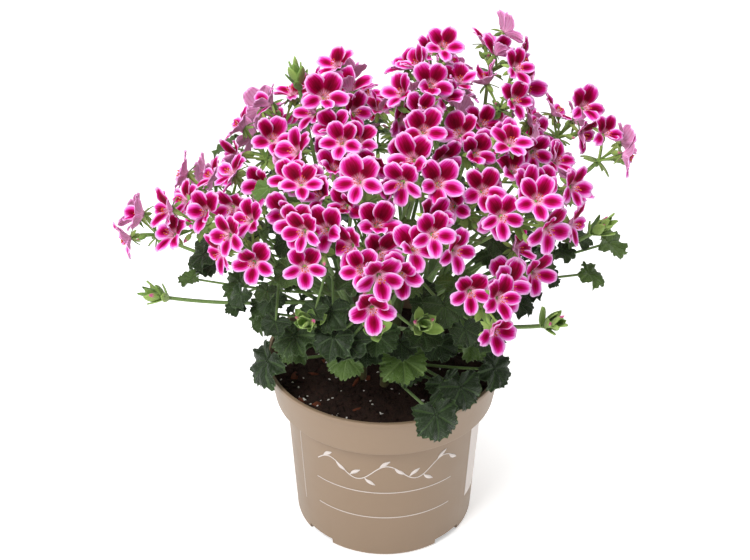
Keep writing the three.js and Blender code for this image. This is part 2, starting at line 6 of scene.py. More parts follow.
import bpy
import numpy as np
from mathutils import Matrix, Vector


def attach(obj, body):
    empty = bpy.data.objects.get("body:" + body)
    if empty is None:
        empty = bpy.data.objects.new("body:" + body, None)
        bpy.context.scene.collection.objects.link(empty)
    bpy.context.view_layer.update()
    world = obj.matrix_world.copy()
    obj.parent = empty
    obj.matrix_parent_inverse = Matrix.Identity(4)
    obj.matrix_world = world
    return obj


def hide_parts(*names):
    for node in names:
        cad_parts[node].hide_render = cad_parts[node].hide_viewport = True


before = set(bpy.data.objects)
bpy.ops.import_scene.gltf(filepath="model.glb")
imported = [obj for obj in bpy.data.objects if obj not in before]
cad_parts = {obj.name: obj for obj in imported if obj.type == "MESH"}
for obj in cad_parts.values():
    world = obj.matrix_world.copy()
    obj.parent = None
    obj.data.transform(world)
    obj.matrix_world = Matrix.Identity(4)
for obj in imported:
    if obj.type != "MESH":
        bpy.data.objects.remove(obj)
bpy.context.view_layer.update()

MM = 0.001
TURN = 2 * math.pi
DEGREE = TURN / 360
BODY = "root"

# Pot and soil
POT_HEIGHT = 135
RIM_RADIUS = 85
COLLAR_BOTTOM = 104
COLLAR_RADIUS = 79.2
BODY_TOP_RADIUS = 71.4
BASE_RADIUS = 66.2
WALL = 1.4
FLOOR = 1.6
NOTCH_COUNT = 4
NOTCH_WIDTH = 24
NOTCH_HEIGHT = 5
SOIL_TOP = 121
SOIL_CLEARANCE = 0.4
SOIL_DOME = 3

# Stems
SECTORS = 9
FRONT_AZIMUTH = 270 * DEGREE
TRUNK_RADIUS = 3.6
TRUNK_FOOT_HEIGHT = 97
TRUNK_TOP_HEIGHT = 205
TRUNK_SPOTS = [(24, TRUNK_FOOT_HEIGHT), (24, 135), (24, 165), (42, TRUNK_TOP_HEIGHT)]
STALK_RADIUS = 1.35
STALK_CLEARANCE = 1.2
SWAY_TRIES = 61
SWAY_TURNS = 12
SWAY_STEP = 6
BEAD_STEP = 5
CURVE_SPOTS = 201
CROWDING_REACH = 12

# Flower heads: name, middle of the blooms in mm, number of blooms
HEADS = [
    ("far_left", -168, -10, 246, 3),
    ("left_low", -125, -62, 281, 4),
    ("left_side", -126, 5, 267, 4),
    ("left_mid", -92, -32, 286, 4),
    ("left_front", -88, -92, 278, 4),
    ("shoulder", -87, 5, 302, 4),
    ("peak_left", -75, 40, 312, 3),
    ("peak_mid", -31, 30, 332, 4),
    ("under_peak", -34, -15, 328, 4),
    ("upper_left", -49, -40, 304, 4),
    ("big_left", -52, -80, 306, 4),
    ("ridge_left", -22, -50, 317, 4),
    ("middle_left", -12, -86, 312, 4),
    ("front_left", -43, -118, 295, 4),
    ("centre", -10, -116, 293, 3),
    ("peak_right", 35, 5, 353, 4),
    ("peak_top", 74, 30, 355, 4),
    ("right_top", 79, -5, 343, 4),
    ("crown", 23, -25, 343, 4),
    ("crown_left", 8, 22, 316, 4),
    ("crown_right", 42, 36, 312, 3),
    ("right_upper", 90, 17, 299, 4),
    ("right_ridge", 58, -28, 320, 3),
    ("right_shoulder", 121, 8, 315, 4),
    ("far_right", 150, -8, 305, 3),
    ("middle", 21, -62, 328, 4),
    ("right_mid", 70, -60, 324, 4),
    ("right_dip", 54, -85, 303, 4),
    ("mid_front", 20, -95, 326, 3),
    ("right_big", 83, -106, 309, 4),
    ("right_front", 112, -50, 288, 4),
    ("centre_right", 26, -127, 301, 4),
    ("lowest_left", -3, -142, 283, 4),
    ("lowest_right", 63, -131, 262, 4),
    ("low_right", 82, -88, 260, 3),
    ("right_gap", 101, -16, 304, 3),
    ("back_right_low", 118, 78, 238, 4),
    ("back_low", 66, 120, 245, 4),
    ("back_mid_low", -6, 132, 250, 4),
    ("back_left_low", -72, 112, 245, 4),
    ("back_side_left", -122, 66, 240, 4),
    ("back_right", 96, 62, 284, 4),
    ("back_high_right", 44, 92, 304, 4),
    ("back_high_left", -28, 98, 290, 4),
    ("back_left", -80, 74, 279, 4),
    ("crown_back", 28, 62, 328, 4),
    ("crown_back_left", -30, 66, 308, 3),
]

# Blooms
UPPER_PETAL_LENGTH = 16.8
LOWER_PETAL_LENGTH = 16.6
UPPER_PETAL_HALF_WIDTH = 6.6
LOWER_PETAL_HALF_WIDTH = 5.2
SMALLEST_BLOOM = 0.82
CUP_LEAST = 16
CUP_SPREAD = 12
STAMEN_RADII = [0.26, 0.22, 0.18, 0.16]
CALYX_RADII = [0.95, 0.8, 0.75, 0.75, 0.8, 0.95, 1.15, 1.4, 1.5]
SEPAL_LENGTH = 7.5
SEPAL_HALF_WIDTH = 1.6
BLOOM_STALK = 20
MIDDLE_STALK = 27
HUB_BEHIND_MIDDLE = 18
HUB_RADIUS = 3.6
HUB_BASE = 2.4
MIDDLE_TILT = 6
RING_TILT = 50
SMALL_RING_TILT = 36
STAMENS = 6
SEPALS = 5
HUB_BRACTS = 8
CLOSED_BLOOMS = 4
BUD_BRACTS = 12
CELL_REACH = 80
CELL_PASSES = 4
CELL_CLEARANCE = 0.5
BLOOM_INSIDE_CELL = 6.5
BLOOM_CLEARANCE = 0.2
FACE_WITH_HEAD = 0.65
FACE_LEVEL = 0.5
FACE_FRONT = 0.26
FACE_DRIFT = 0.42
FACE_LEAST = 0.45

# The dome that the plant fills
DOME_CENTRE = np.array([-5.0, 0.0, 190.0])
DOME_REACH = np.array([165.0, 150.0, 165.0])
UPWARD_LEAN = 0.35

# Leaves
LEAF_HALF_OUTLINE = [(0, 1.08), (25, 0.98), (50, 1.1), (80, 0.95), (110, 1.04), (147, 0.66)]
LEAF_SINUS = (180, 0.16)
LEAF_CUP = 0.2
LEAF_PLEAT = 0.1
LEAF_TEETH = 27
PETIOLE_RADIUS = 1.3
# Points round a leaf, and rings from its heart to its edge
MAIN_LEAF_GRID = (81, 8)
SMALL_LEAF_GRID = (46, 5)
# Above these heights leaves are young
YOUNG_MAIN_LEAVES = 172
YOUNG_SMALL_LEAVES = 235
YOUNGEST_ABOVE = 95
# Tiers: leaves, height, reach, leaf radius, outward lean, start of the turn
LEAF_TIERS = [
    (12, 156, 64, 14.5, 0.9, 0.0),
    (15, 180, 80, 14.5, 0.8, 0.35),
    (14, 210, 94, 14, 0.6, 0.7),
    (10, 242, 88, 13, 0.4, 0.1),
    (6, 270, 70, 12, 0.3, 0.45),
]
GOLDEN_ANGLE = 137.5 * DEGREE
CLEARING_EDGE = 10
CLEARING_TOP = 166
CANOPY_FOOT_RADIUS = 76
CANOPY_FOOT_HEIGHT = 160
CANOPY_SPREAD = 0.9
SETTLE_TRIES = 28
SETTLE_TURNS = (0, 7, -7, 14)
SMALL_LEAF_TRIES = 900
SMALL_LEAF_LOWEST = 150
SMALL_LEAF_RISE = 165
SMALL_LEAF_RADIUS = 8
SMALL_LEAF_ARM = 75
# Leaves set one by one: place, radius, outward lean
SINGLE_LEAVES = [
    (-80, -38, 153, 17, 0.9),
    (33, -98, 154, 16, 1.2),
    (24, -68, 150, 14, 1.0),
    (50, -74, 158, 15, 0.9),
    (68, -56, 154, 14, 0.9),
    (148, -18, 236, 14, 0.6),
    (134, -34, 222, 12, 0.6),
    (-131, -12, 203, 9, 0.3),
]
# Places of the bud clusters
BUDS = [
    (-154, -15, 190),
    (-46, -108, 230),
    (-6, -118, 232),
    (22, -118, 236),
    (101, -96, 222),
    (136, -34, 254),
    (-58, 30, 330),
]

# Print on the pot: mm round the pot from its front, and mm above the floor
PRINT_LINES = (38.0, 62.0)
PRINT_LINE_REACH = 52
VINE_HEIGHTS = (64, 97)
VINE_PLACES = (-50, 54)
VINE_LEAVES = 10
VINE_WAVES = 2.5
UPRIGHT_PLACE = -69
UPRIGHT_HEIGHTS = (30, 98)
PANEL_PLACES = (74, 96)
PANEL_HEIGHTS = (28, 98)
PRINT_THICKNESS = 0.08

# Sides and rings of the pot and the soil
POT_SIDES = 160
SOIL_SIDES = 150
SOIL_RINGS = 56
# The soil is level at its edge and grows rough over this width
SOIL_EDGE = 10
BITS_FROM_EDGE = 4

# Studio: camera, and half the side of the floor in metres
CAMERA_PLACE = (0, -0.750, 0.65725)
CAMERA_LENS = 61.02
CAMERA_PITCH = 0.5524
CAMERA_YAW = -0.0092
SENSOR_WIDTH = 36
FLOOR_HALF = 4
FLOOR_DROP = 0.0002


def draw(seed):
    """A repeatable draw between 0 and 1."""
    wave = math.sin(seed * 12.9898 + 78.233) * 43758.5453
    return wave - math.floor(wave)


def spread(seed, size):
    return (draw(seed) - 0.5) * 2 * size


def unit(arrow):
    return arrow / np.linalg.norm(arrow)


def mixed(a, b, share):
    return a * (1 - share) + b * share


def round_axis(azimuth, reach, height):
    return np.array([reach * math.cos(azimuth), reach * math.sin(azimuth), height])


def frame_of(facing):
    """The up and sideways directions across a facing."""
    up = np.array([-0.3 * facing[0], 0.12 - 0.3 * facing[1], 1.0])
    up = unit(up - facing * up.dot(facing))
    return up, np.cross(up, facing)


def fan(up, side, angle):
    """The direction at an angle from up towards the side."""
    return up * math.cos(angle) + side * math.sin(angle)


def placed(name, data):
    """A new object in the scene."""
    made = bpy.data.objects.new(name, data)
    bpy.context.scene.collection.objects.link(made)
    return made


class Bezier:
    """A smooth curve of two, three or four control points."""

    def __init__(self, *spots):
        self.spots = [np.array(spot, float) for spot in spots]
        self.shares = np.linspace(0, 1, CURVE_SPOTS)
        steps = np.linalg.norm(np.diff(self.at(self.shares), axis=0), axis=1)
        self.lengths = np.concatenate([[0], np.cumsum(steps)])

    def at(self, share):
        share = np.asarray(share, float)[..., None]
        spots = self.spots
        while len(spots) > 1:
            spots = [a * (1 - share) + b * share for a, b in zip(spots, spots[1:])]
        return spots[0]

    def even(self, count):
        reach = np.linspace(0, self.lengths[-1], count + 1)
        return self.at(np.interp(reach, self.lengths, self.shares))

    def direction(self, share):
        return unit(self.at(min(share + 1e-4, 1)) - self.at(max(share - 1e-4, 0)))


# Layout of the heads, stems and leaves
def inner_radius(height):
    if height < COLLAR_BOTTOM:
        outside = BASE_RADIUS + (BODY_TOP_RADIUS - BASE_RADIUS) * height / COLLAR_BOTTOM
    else:
        share = (height - COLLAR_BOTTOM) / (POT_HEIGHT - COLLAR_BOTTOM)
        outside = COLLAR_RADIUS + (RIM_RADIUS - 1.2 - COLLAR_RADIUS) * share
    return outside - WALL


def sector_of(place):
    turns = (math.atan2(place[1], place[0]) - FRONT_AZIMUTH) / TURN
    return math.floor(turns * SECTORS + 0.5) % SECTORS


def outward_at(place):
    out = unit((place - DOME_CENTRE) / DOME_REACH ** 2)
    return unit(out + np.array([0, 0, UPWARD_LEAN]))


class Head:
    """A flower head, with the halfway planes to its neighbours as the walls of its cell."""

    def __init__(self, number, name, x, y, z, count):
        self.number = number
        self.name = name
        self.middle = np.array([x, y, z], float)
        self.count = count
        self.axis = outward_at(self.middle)
        self.sector = sector_of(self.middle)
        self.walls = []

    def kept_inside(self, place, depth):
        kept = place.copy()
        for _ in range(CELL_PASSES):
            for across, limit in self.walls:
                over = (kept - self.middle).dot(across) - (limit - depth)
                if over > 0:
                    kept -= across * over
        return kept


class Bloom:
    """One bloom, with the planes that it shares with its neighbours as walls."""

    def __init__(self, seed, centre, facing, cup, scale):
        self.seed = seed
        self.centre = centre
        self.facing = facing
        self.cup = cup
        self.scale = scale
        self.walls = []


heads = [Head(number, *row) for number, row in enumerate(HEADS)]
for head in heads:
    for other in heads:
        across = other.middle - head.middle
        distance = np.linalg.norm(across)
        if other is not head and distance <= CELL_REACH:
            head.walls.append((across / distance, distance / 2 - CELL_CLEARANCE))

for head in heads:
    up, side = frame_of(head.axis)
    head.hub = head.kept_inside(head.middle - head.axis * HUB_BEHIND_MIDDLE, HUB_RADIUS + 0.5)
    full = head.count > 3
    ring = head.count - 1 if full else head.count
    head.blooms = []
    for i in range(head.count):
        seed = head.number * 10 + i
        single = full and i == ring
        tilt = MIDDLE_TILT if single else RING_TILT if full else SMALL_RING_TILT
        tilt = tilt * DEGREE + spread(seed, 0.1)
        spin = (i / ring + draw(head.number)) * TURN + spread(seed + 0.3, 0.2)
        direction = fan(head.axis, fan(side, up, spin), tilt)
        reach = (MIDDLE_STALK if single else BLOOM_STALK) + spread(seed + 0.6, 1.5)
        centre = head.kept_inside(head.hub + direction * reach, BLOOM_INSIDE_CELL)
        outwards = unit(centre - head.hub)
        facing = mixed(outwards, head.axis, FACE_WITH_HEAD)
        drift = [spread(seed + step, FACE_DRIFT) for step in (1.1, 1.2, 1.3)]
        facing = unit(facing * [1, 1, FACE_LEVEL] + [0, -FACE_FRONT, 0] + drift)
        facing = unit(facing + outwards * max(0, FACE_LEAST - facing.dot(outwards)) * 1.5)
        cup = (CUP_LEAST + CUP_SPREAD * draw(seed + 0.8)) * DEGREE
        scale = mixed(SMALLEST_BLOOM, 1, draw(seed + 0.9))
        head.blooms.append(Bloom(seed, centre, facing, cup, scale))
    for bloom in head.blooms:
        for across, limit in head.walls:
            bloom.walls.append((across, limit - (bloom.centre - head.middle).dot(across)))
        for other in head.blooms:
            if other is not bloom:
                across = other.centre - bloom.centre
                distance = np.linalg.norm(across)
                bloom.walls.append((across / distance, distance / 2 - BLOOM_CLEARANCE))


class Beads:
    """Marks of the room that each piece takes: place, radius, and its stem or head."""

    def __init__(self):
        self.rows = np.zeros((0, 6))

    def add(self, rows):
        self.rows = np.vstack([self.rows, rows])

    def crowding(self, own, sector=-1, head=-1):
        rows = self.rows
        if sector >= 0:
            rows = rows[rows[:, 4] != sector]
        if head >= 0:
            rows = rows[rows[:, 5] != head]
        low = own[:, :3].min(axis=0) - CROWDING_REACH
        high = own[:, :3].max(axis=0) + CROWDING_REACH
        near = ((rows[:, :3] > low) & (rows[:, :3] < high)).all(axis=1)
        rows = rows[near]
        if not len(rows):
            return float(CROWDING_REACH)
        gaps = np.linalg.norm(own[:, None, :3] - rows[None, :, :3], axis=2)
        gaps -= own[:, None, 3] + rows[None, :, 3]
        return gaps.min()


def bead_rows(places, radius, sector=-1, head=-1):
    rows = np.empty((len(places), 6))
    rows[:, :3] = places
    rows[:, 3:] = radius, sector, head
    return rows


def beads_along(curve, radius, sector=-1, head=-1):
    count = math.ceil(curve.lengths[-1] / BEAD_STEP - 1e-9)
    return bead_rows(curve.even(count), radius, sector, head)


def beads_on_disc(centre, facing, reach, slope, radius, sector=-1, head=-1):
    up, side = frame_of(facing)
    places = [centre]
    rings = math.floor(reach / 6 + 0.5)
    for ring in range(1, rings + 1):
        arm = (reach - radius / 2) * ring / rings
        for i in range(6 * ring):
            flat = fan(up, side, i / (6 * ring) * TURN)
            places.append(centre + flat * arm + facing * arm * slope)
    return bead_rows(places, radius, sector, head)


beads = Beads()
for head in heads:
    rows = [bead_rows([head.hub], 4, head=head.number)]
    for bloom in head.blooms:
        slope = math.tan(bloom.cup)
        rows.append(beads_on_disc(bloom.centre, bloom.facing, 14.5, slope, 3, head=head.number))
        rows.append(beads_along(Bezier(head.hub, bloom.centre), 2, head=head.number))
    beads.add(np.vstack(rows))

trunks = []
for sector in range(SECTORS):
    azimuth = FRONT_AZIMUTH + sector / SECTORS * TURN
    trunks.append(Bezier(*[round_axis(azimuth, *spot) for spot in TRUNK_SPOTS]))
    beads.add(beads_along(trunks[sector], TRUNK_RADIUS, sector=sector))


def stalk_curve(head, sway):
    """A head's stalk leaves the trunk, sways clear of other growth and ends behind the hub."""
    trunk = trunks[head.sector]
    start = trunk.at(head.share)
    end = head.hub - head.axis * (HUB_BASE + 0.3)
    length = np.linalg.norm(end - start)
    leave = mixed(trunk.direction(head.share), (end - start) / length, 0.5)
    near = start + leave * length * 0.35 + sway * 1.2
    far = end - head.axis * length * 0.25 + sway * 0.3
    return Bezier(start, near, far, end)


for head in heads:
    mates = [other for other in heads if other.sector == head.sector]
    rank = sum(other.middle[2] < head.middle[2] for other in mates)
    head.share = 0.56 + 0.42 * (rank + 1) / len(mates)

for head in heads:
    straight = unit(head.hub - trunks[head.sector].at(0.7))
    side = unit(np.cross([0, 0, 1], straight))
    lift = np.cross(straight, side)
    best = -math.inf
    for step in range(SWAY_TRIES):
        if best >= STALK_CLEARANCE:
            break
        angle = step * TURN / SWAY_TURNS
        size = math.ceil(step / SWAY_TURNS) * SWAY_STEP
        curve = stalk_curve(head, side * size * math.cos(angle) + lift * size * math.sin(angle))
        own = beads_along(curve, STALK_RADIUS + 0.3, sector=head.sector)
        gap = beads.crowding(own, head.sector, head.number)
        if gap > best:
            best, head.stalk, kept = gap, curve, own
    beads.add(kept)


class Leaf:
    """A leaf: its heart, its facing, the way its tip points, and where its petiole starts."""

    def __init__(self, middle, radius, outward, start=None):
        self.middle = middle
        self.radius = radius
        self.sector = sector_of(middle)
        away = unit(np.array([middle[0], middle[1], 0]))
        self.facing = unit(np.array([away[0] * outward, away[1] * outward, 0.75]))
        self.tip = unit(away - self.facing * away.dot(self.facing))
        rise = (middle[2] - 15 - TRUNK_FOOT_HEIGHT) / (TRUNK_TOP_HEIGHT - TRUNK_FOOT_HEIGHT)
        self.start = trunks[self.sector].at(min(max(rise, 0.36), 0.93)) if start is None else start
        heart = middle + self.tip * radius * 0.12
        self.blade = beads_on_disc(heart, self.facing, radius * 1.06, LEAF_CUP, 2.4, self.sector)
        self.petiole = beads_along(Bezier(self.start, middle), PETIOLE_RADIUS + 0.2, self.sector)


def clear_of_pot(rows):
    reach = np.hypot(rows[:, 0], rows[:, 1])
    above = rows[:, 2] - rows[:, 3] > POT_HEIGHT + 1
    outside = reach - rows[:, 3] > RIM_RADIUS + 1
    inside = reach + rows[:, 3] < inner_radius(SOIL_TOP) - 2
    over_soil = rows[:, 2] - rows[:, 3] > SOIL_TOP + SOIL_DOME + 4
    return above | outside | (inside & over_soil)


def has_room(leaf, gap):
    rows = np.vstack([leaf.blade, leaf.petiole])
    near_start = np.linalg.norm(rows[:, :3] - leaf.start, axis=1) < 30
    if not (near_start | clear_of_pot(rows)).all():
        return False
    return beads.crowding(leaf.blade) >= gap and beads.crowding(leaf.petiole, leaf.sector) >= gap


leaves = []


def settle_leaf(middle, radius, outward):
    """A leaf that would touch other growth is drawn in and turned until it is clear."""
    for step in range(SETTLE_TRIES):
        turn = SETTLE_TURNS[step % 4] * DEGREE
        share = 1 - 0.05 * (step // 4)
        place = np.array([
            share * (middle[0] * math.cos(turn) - middle[1] * math.sin(turn)),
            share * (middle[0] * math.sin(turn) + middle[1] * math.cos(turn)),
            middle[2],
        ])
        leaf = Leaf(place, radius, outward)
        if has_room(leaf, 0.3):
            leaves.append(leaf)
            beads.add(np.vstack([leaf.blade, leaf.petiole]))
            return


def in_clearing(place):
    """The soil at the front left stays in view."""
    return place[0] < CLEARING_EDGE and place[1] < 0 and place[2] < CLEARING_TOP


for x, y, z, radius, outward in SINGLE_LEAVES:
    settle_leaf(np.array([x, y, z], float), radius, outward)
for count, tier_height, tier_reach, tier_radius, outward, start in LEAF_TIERS:
    for i in range(count):
        seed = tier_height + i
        azimuth = FRONT_AZIMUTH + start * TURN + i * GOLDEN_ANGLE
        reach = tier_reach + spread(seed, 8)
        height = tier_height + spread(seed + 0.5, 8)
        place = round_axis(azimuth, reach, height)
        if in_clearing(place):
            continue
        settle_leaf(place, tier_radius * (1 + spread(seed + 0.7, 0.1)), outward)
main_leaf_count = len(leaves)

# Young leaves fill the room under the blooms: they grow from the stalks
stalk_spots = np.vstack([head.stalk.even(14)[2:12] for head in heads])
stalk_sectors = np.repeat([head.sector for head in heads], 10)
for attempt in range(SMALL_LEAF_TRIES):
    seed = 2000 + attempt * 1.37
    azimuth = draw(seed) * TURN
    lift = draw(seed + 0.21)
    share = 0.5 + 0.42 * math.sqrt(draw(seed + 0.43))
    height = SMALL_LEAF_LOWEST + SMALL_LEAF_RISE * lift
    rise = max(0, (height - DOME_CENTRE[2]) / DOME_REACH[2])
    width = math.sqrt(max(0.05, 1 - rise ** 2))
    flat = np.array([math.cos(azimuth) * DOME_REACH[0], math.sin(azimuth) * DOME_REACH[1], 0])
    place = flat * share * width * 0.9
    place[2] = height
    radius = SMALL_LEAF_RADIUS * (1 + draw(seed + 0.65) * (1 - 0.4 * lift))
    edge = CANOPY_FOOT_RADIUS + CANOPY_SPREAD * (height - CANOPY_FOOT_HEIGHT)
    if in_clearing(place) or math.hypot(place[0], place[1]) + radius > edge:
        continue
    sector = sector_of(place)
    own_spots = stalk_spots[stalk_sectors == sector]
    away = np.linalg.norm(own_spots - place, axis=1)
    pick = np.where(away > radius + 9, away, 999).argmin()
    if away[pick] > SMALL_LEAF_ARM:
        continue
    leaf = Leaf(place, radius, 0.2 + 0.7 * draw(seed + 0.9), own_spots[pick])
    if has_room(leaf, -0.6):
        leaves.append(leaf)
        beads.add(np.vstack([leaf.blade, leaf.petiole]))


# Meshes
class Skin:
    """Points, faces and point values that grow into one mesh."""

    def __init__(self):
        self.points = []
        self.faces = []
        self.values = {}
        self.count = 0

    def add(self, points, faces, **values):
        points = np.asarray(points, float)
        for name in self.values:
            values.setdefault(name, 0.0)
        for name, value in values.items():
            column = np.broadcast_to(np.asarray(value, float), (len(points),))
            self.values.setdefault(name, [np.zeros(self.count)] if self.count else [])
            self.values[name].append(column)
        for group in faces:
            self.faces.extend((np.asarray(group) + self.count).tolist())
        self.points.append(points)
        self.count += len(points)

    def mesh(self, name):
        made = bpy.data.meshes.new(name)
        made.from_pydata((np.vstack(self.points) * MM).tolist(), [], self.faces)
        return made

    def piece(self, name, material, slot, *nodes):
        mesh = self.mesh(name)
        for value_name, columns in self.values.items():
            layer = mesh.attributes.new(value_name, "FLOAT", "POINT")
            layer.data.foreach_set("value", np.concatenate(columns).astype(np.float32))
        mesh.polygons.foreach_set("use_smooth", np.ones(len(mesh.polygons), bool))
        mesh.materials.append(material)
        mesh.update()
        piece = placed(name, mesh)
        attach(piece, BODY)
        if nodes:
            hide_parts(*nodes)
        return piece


def grid_faces(rows, cols, wrap):
    j = np.arange(cols if wrap else cols - 1)
    i = np.arange(rows - 1)[:, None]
    after = (j + 1) % cols
    corners = [i * cols + j, i * cols + after, (i + 1) * cols + after, (i + 1) * cols + j]
    return np.stack(corners, axis=-1).reshape(-1, 4)


def closed_rings(rows, sides):
    """Faces for rings of points in a row, with a fan from one more point at each end."""
    j = np.arange(sides)
    after = (j + 1) % sides
    last = (rows - 1) * sides
    foot = np.stack([np.full(sides, rows * sides), after, j], axis=1)
    top = np.stack([np.full(sides, rows * sides + 1), last + j, last + after], axis=1)
    return [grid_faces(rows, sides, True), foot, top]


def turned_body(skin, radii, heights, sides):
    """A closed body from a radius and a height for each ring, from the underside to the top."""
    angles = np.arange(sides) / sides * TURN
    radii = np.broadcast_to(radii, (len(radii), sides))
    heights = np.broadcast_to(heights, radii.shape)
    grid = np.stack([radii * np.cos(angles), radii * np.sin(angles), heights], axis=-1)
    ends = [grid[0].mean(axis=0), grid[-1].mean(axis=0)]
    skin.add(np.vstack([grid.reshape(-1, 3), ends]), closed_rings(len(grid), sides))


def thin_sheet(skin, grid, thickness, wrap=False, **values):
    """A closed thin sheet over a grid of points; a wrapped grid is closed round its middle."""
    rows, cols = grid.shape[:2]
    if wrap:
        across = np.roll(grid, -1, axis=1) - np.roll(grid, 1, axis=1)
    else:
        across = np.gradient(grid, axis=1)
    normal = np.cross(across, np.gradient(grid, axis=0))
    normal /= np.maximum(np.linalg.norm(normal, axis=2, keepdims=True), 1e-9)
    half = normal * np.broadcast_to(np.asarray(thickness, float), (rows, cols))[..., None] / 2
    top = (grid + half).reshape(-1, 3)
    under = (grid - half).reshape(-1, 3)
    size = rows * cols
    quads = grid_faces(rows, cols, wrap)
    points = [top, under]
    faces = [quads, quads[:, ::-1] + size]
    if wrap:
        loop = (rows - 1) * cols + np.arange(cols)
        rim = np.stack([loop, np.roll(loop, -1), np.roll(loop, -1) + size, loop + size], axis=1)
        faces.append(rim[:, ::-1])
        inner = np.arange(cols)
        points += [top[:cols].mean(axis=0)[None], under[:cols].mean(axis=0)[None]]
        pole = np.full(cols, 2 * size)
        faces.append(np.stack([inner, pole, np.roll(inner, -1)], axis=1)[:, ::-1])
        faces.append(np.stack([inner + size, pole + 1, np.roll(inner, -1) + size], axis=1))
    else:
        loop = np.concatenate([
            np.arange(cols),
            np.arange(1, rows) * cols + cols - 1,
            (rows - 1) * cols + np.arange(cols - 2, -1, -1),
            np.arange(rows - 2, 0, -1) * cols,
        ])
        after = np.roll(loop, -1)
        faces.append(np.stack([after, loop, loop + size, after + size], axis=1))
    spread_out = {}
    for name, value in values.items():
        flat = np.broadcast_to(np.asarray(value, float), (rows, cols)).ravel()
        extra = [flat[:cols].mean()] * 2 if wrap else []
        spread_out[name] = np.concatenate([flat, flat, extra])
    extra = [0.0, 1.0] if wrap else []
    spread_out["underside"] = np.concatenate([np.zeros(size), np.ones(size), extra])
    skin.add(np.vstack(points), faces, **spread_out)


def tube(skin, line, radii, sides, **values):
    """A stem along a line of points, with its own radius at each, and closed ends."""
    line = np.asarray(line, float)
    count = len(line)
    radii = np.broadcast_to(np.asarray(radii, float), (count,))
    along = np.gradient(line, axis=0)
    along /= np.linalg.norm(along, axis=1, keepdims=True)
    side = np.cross(along[0], [0, 0, 1] if abs(along[0][2]) < 0.9 else [1, 0, 0])
    rings = []
    for i in range(count):
        side = unit(side - along[i] * side.dot(along[i]))
        lift = np.cross(along[i], side)
        angles = np.arange(sides) / sides * TURN
        arms = np.cos(angles)[:, None] * side + np.sin(angles)[:, None] * lift
        rings.append(line[i] + arms * radii[i])
    ends = [line[0] - along[0] * radii[0] * 0.4, line[-1] + along[-1] * radii[-1] * 0.4]
    points = np.vstack(rings + [np.array(ends)])
    spread_out = {}
    for name, value in values.items():
        column = np.broadcast_to(np.asarray(value, float), (count,))
        spread_out[name] = np.concatenate([np.repeat(column, sides), [column[0], column[-1]]])
    skin.add(points, closed_rings(count, sides), **spread_out)


# Petals
PETAL_COLS = 9
PETAL_ROWS = 10
PETAL_START = 0.35
PETAL_OVERLAP = 2.5
PETAL_LIFTS = (0, 8, 16, 24, 32, 40, 48)
u_line = np.linspace(-1, 1, PETAL_COLS)
v_line = np.linspace(0, 1, PETAL_ROWS)
U, V = np.meshgrid(u_line, v_line)


def petal_width(v):
    """Half width from the narrow claw to the widest place and in again at the blunt tip."""
    opening = 0.17 + 0.83 * np.sin(np.minimum(v / 0.62, 1) * TURN / 4) ** 1.25
    closing = np.sqrt(1 - (np.maximum(v - 0.62, 0) / 0.54) ** 2)
    return opening * closing


def overshoot(grid, bloom):
    """How far a petal reaches past the halfway planes to its neighbours."""
    return max(((grid - bloom.centre) @ across - room).max() for across, room in bloom.walls)


def bent_inside(grid, bloom, spare, softness):
    """The last of a petal that would still meet a neighbour bends up along the halfway plane."""
    kept = grid.copy()
    for share in (0.5, 0.0):
        for across, room in bloom.walls:
            start = max(room + spare - softness, 2.0)
            over = np.maximum((kept - bloom.centre) @ across - start, 0)
            lost = over - softness * (1 - np.exp(-over / softness))
            kept = kept - across * lost[..., None] + bloom.facing * lost[..., None] * share
    return kept


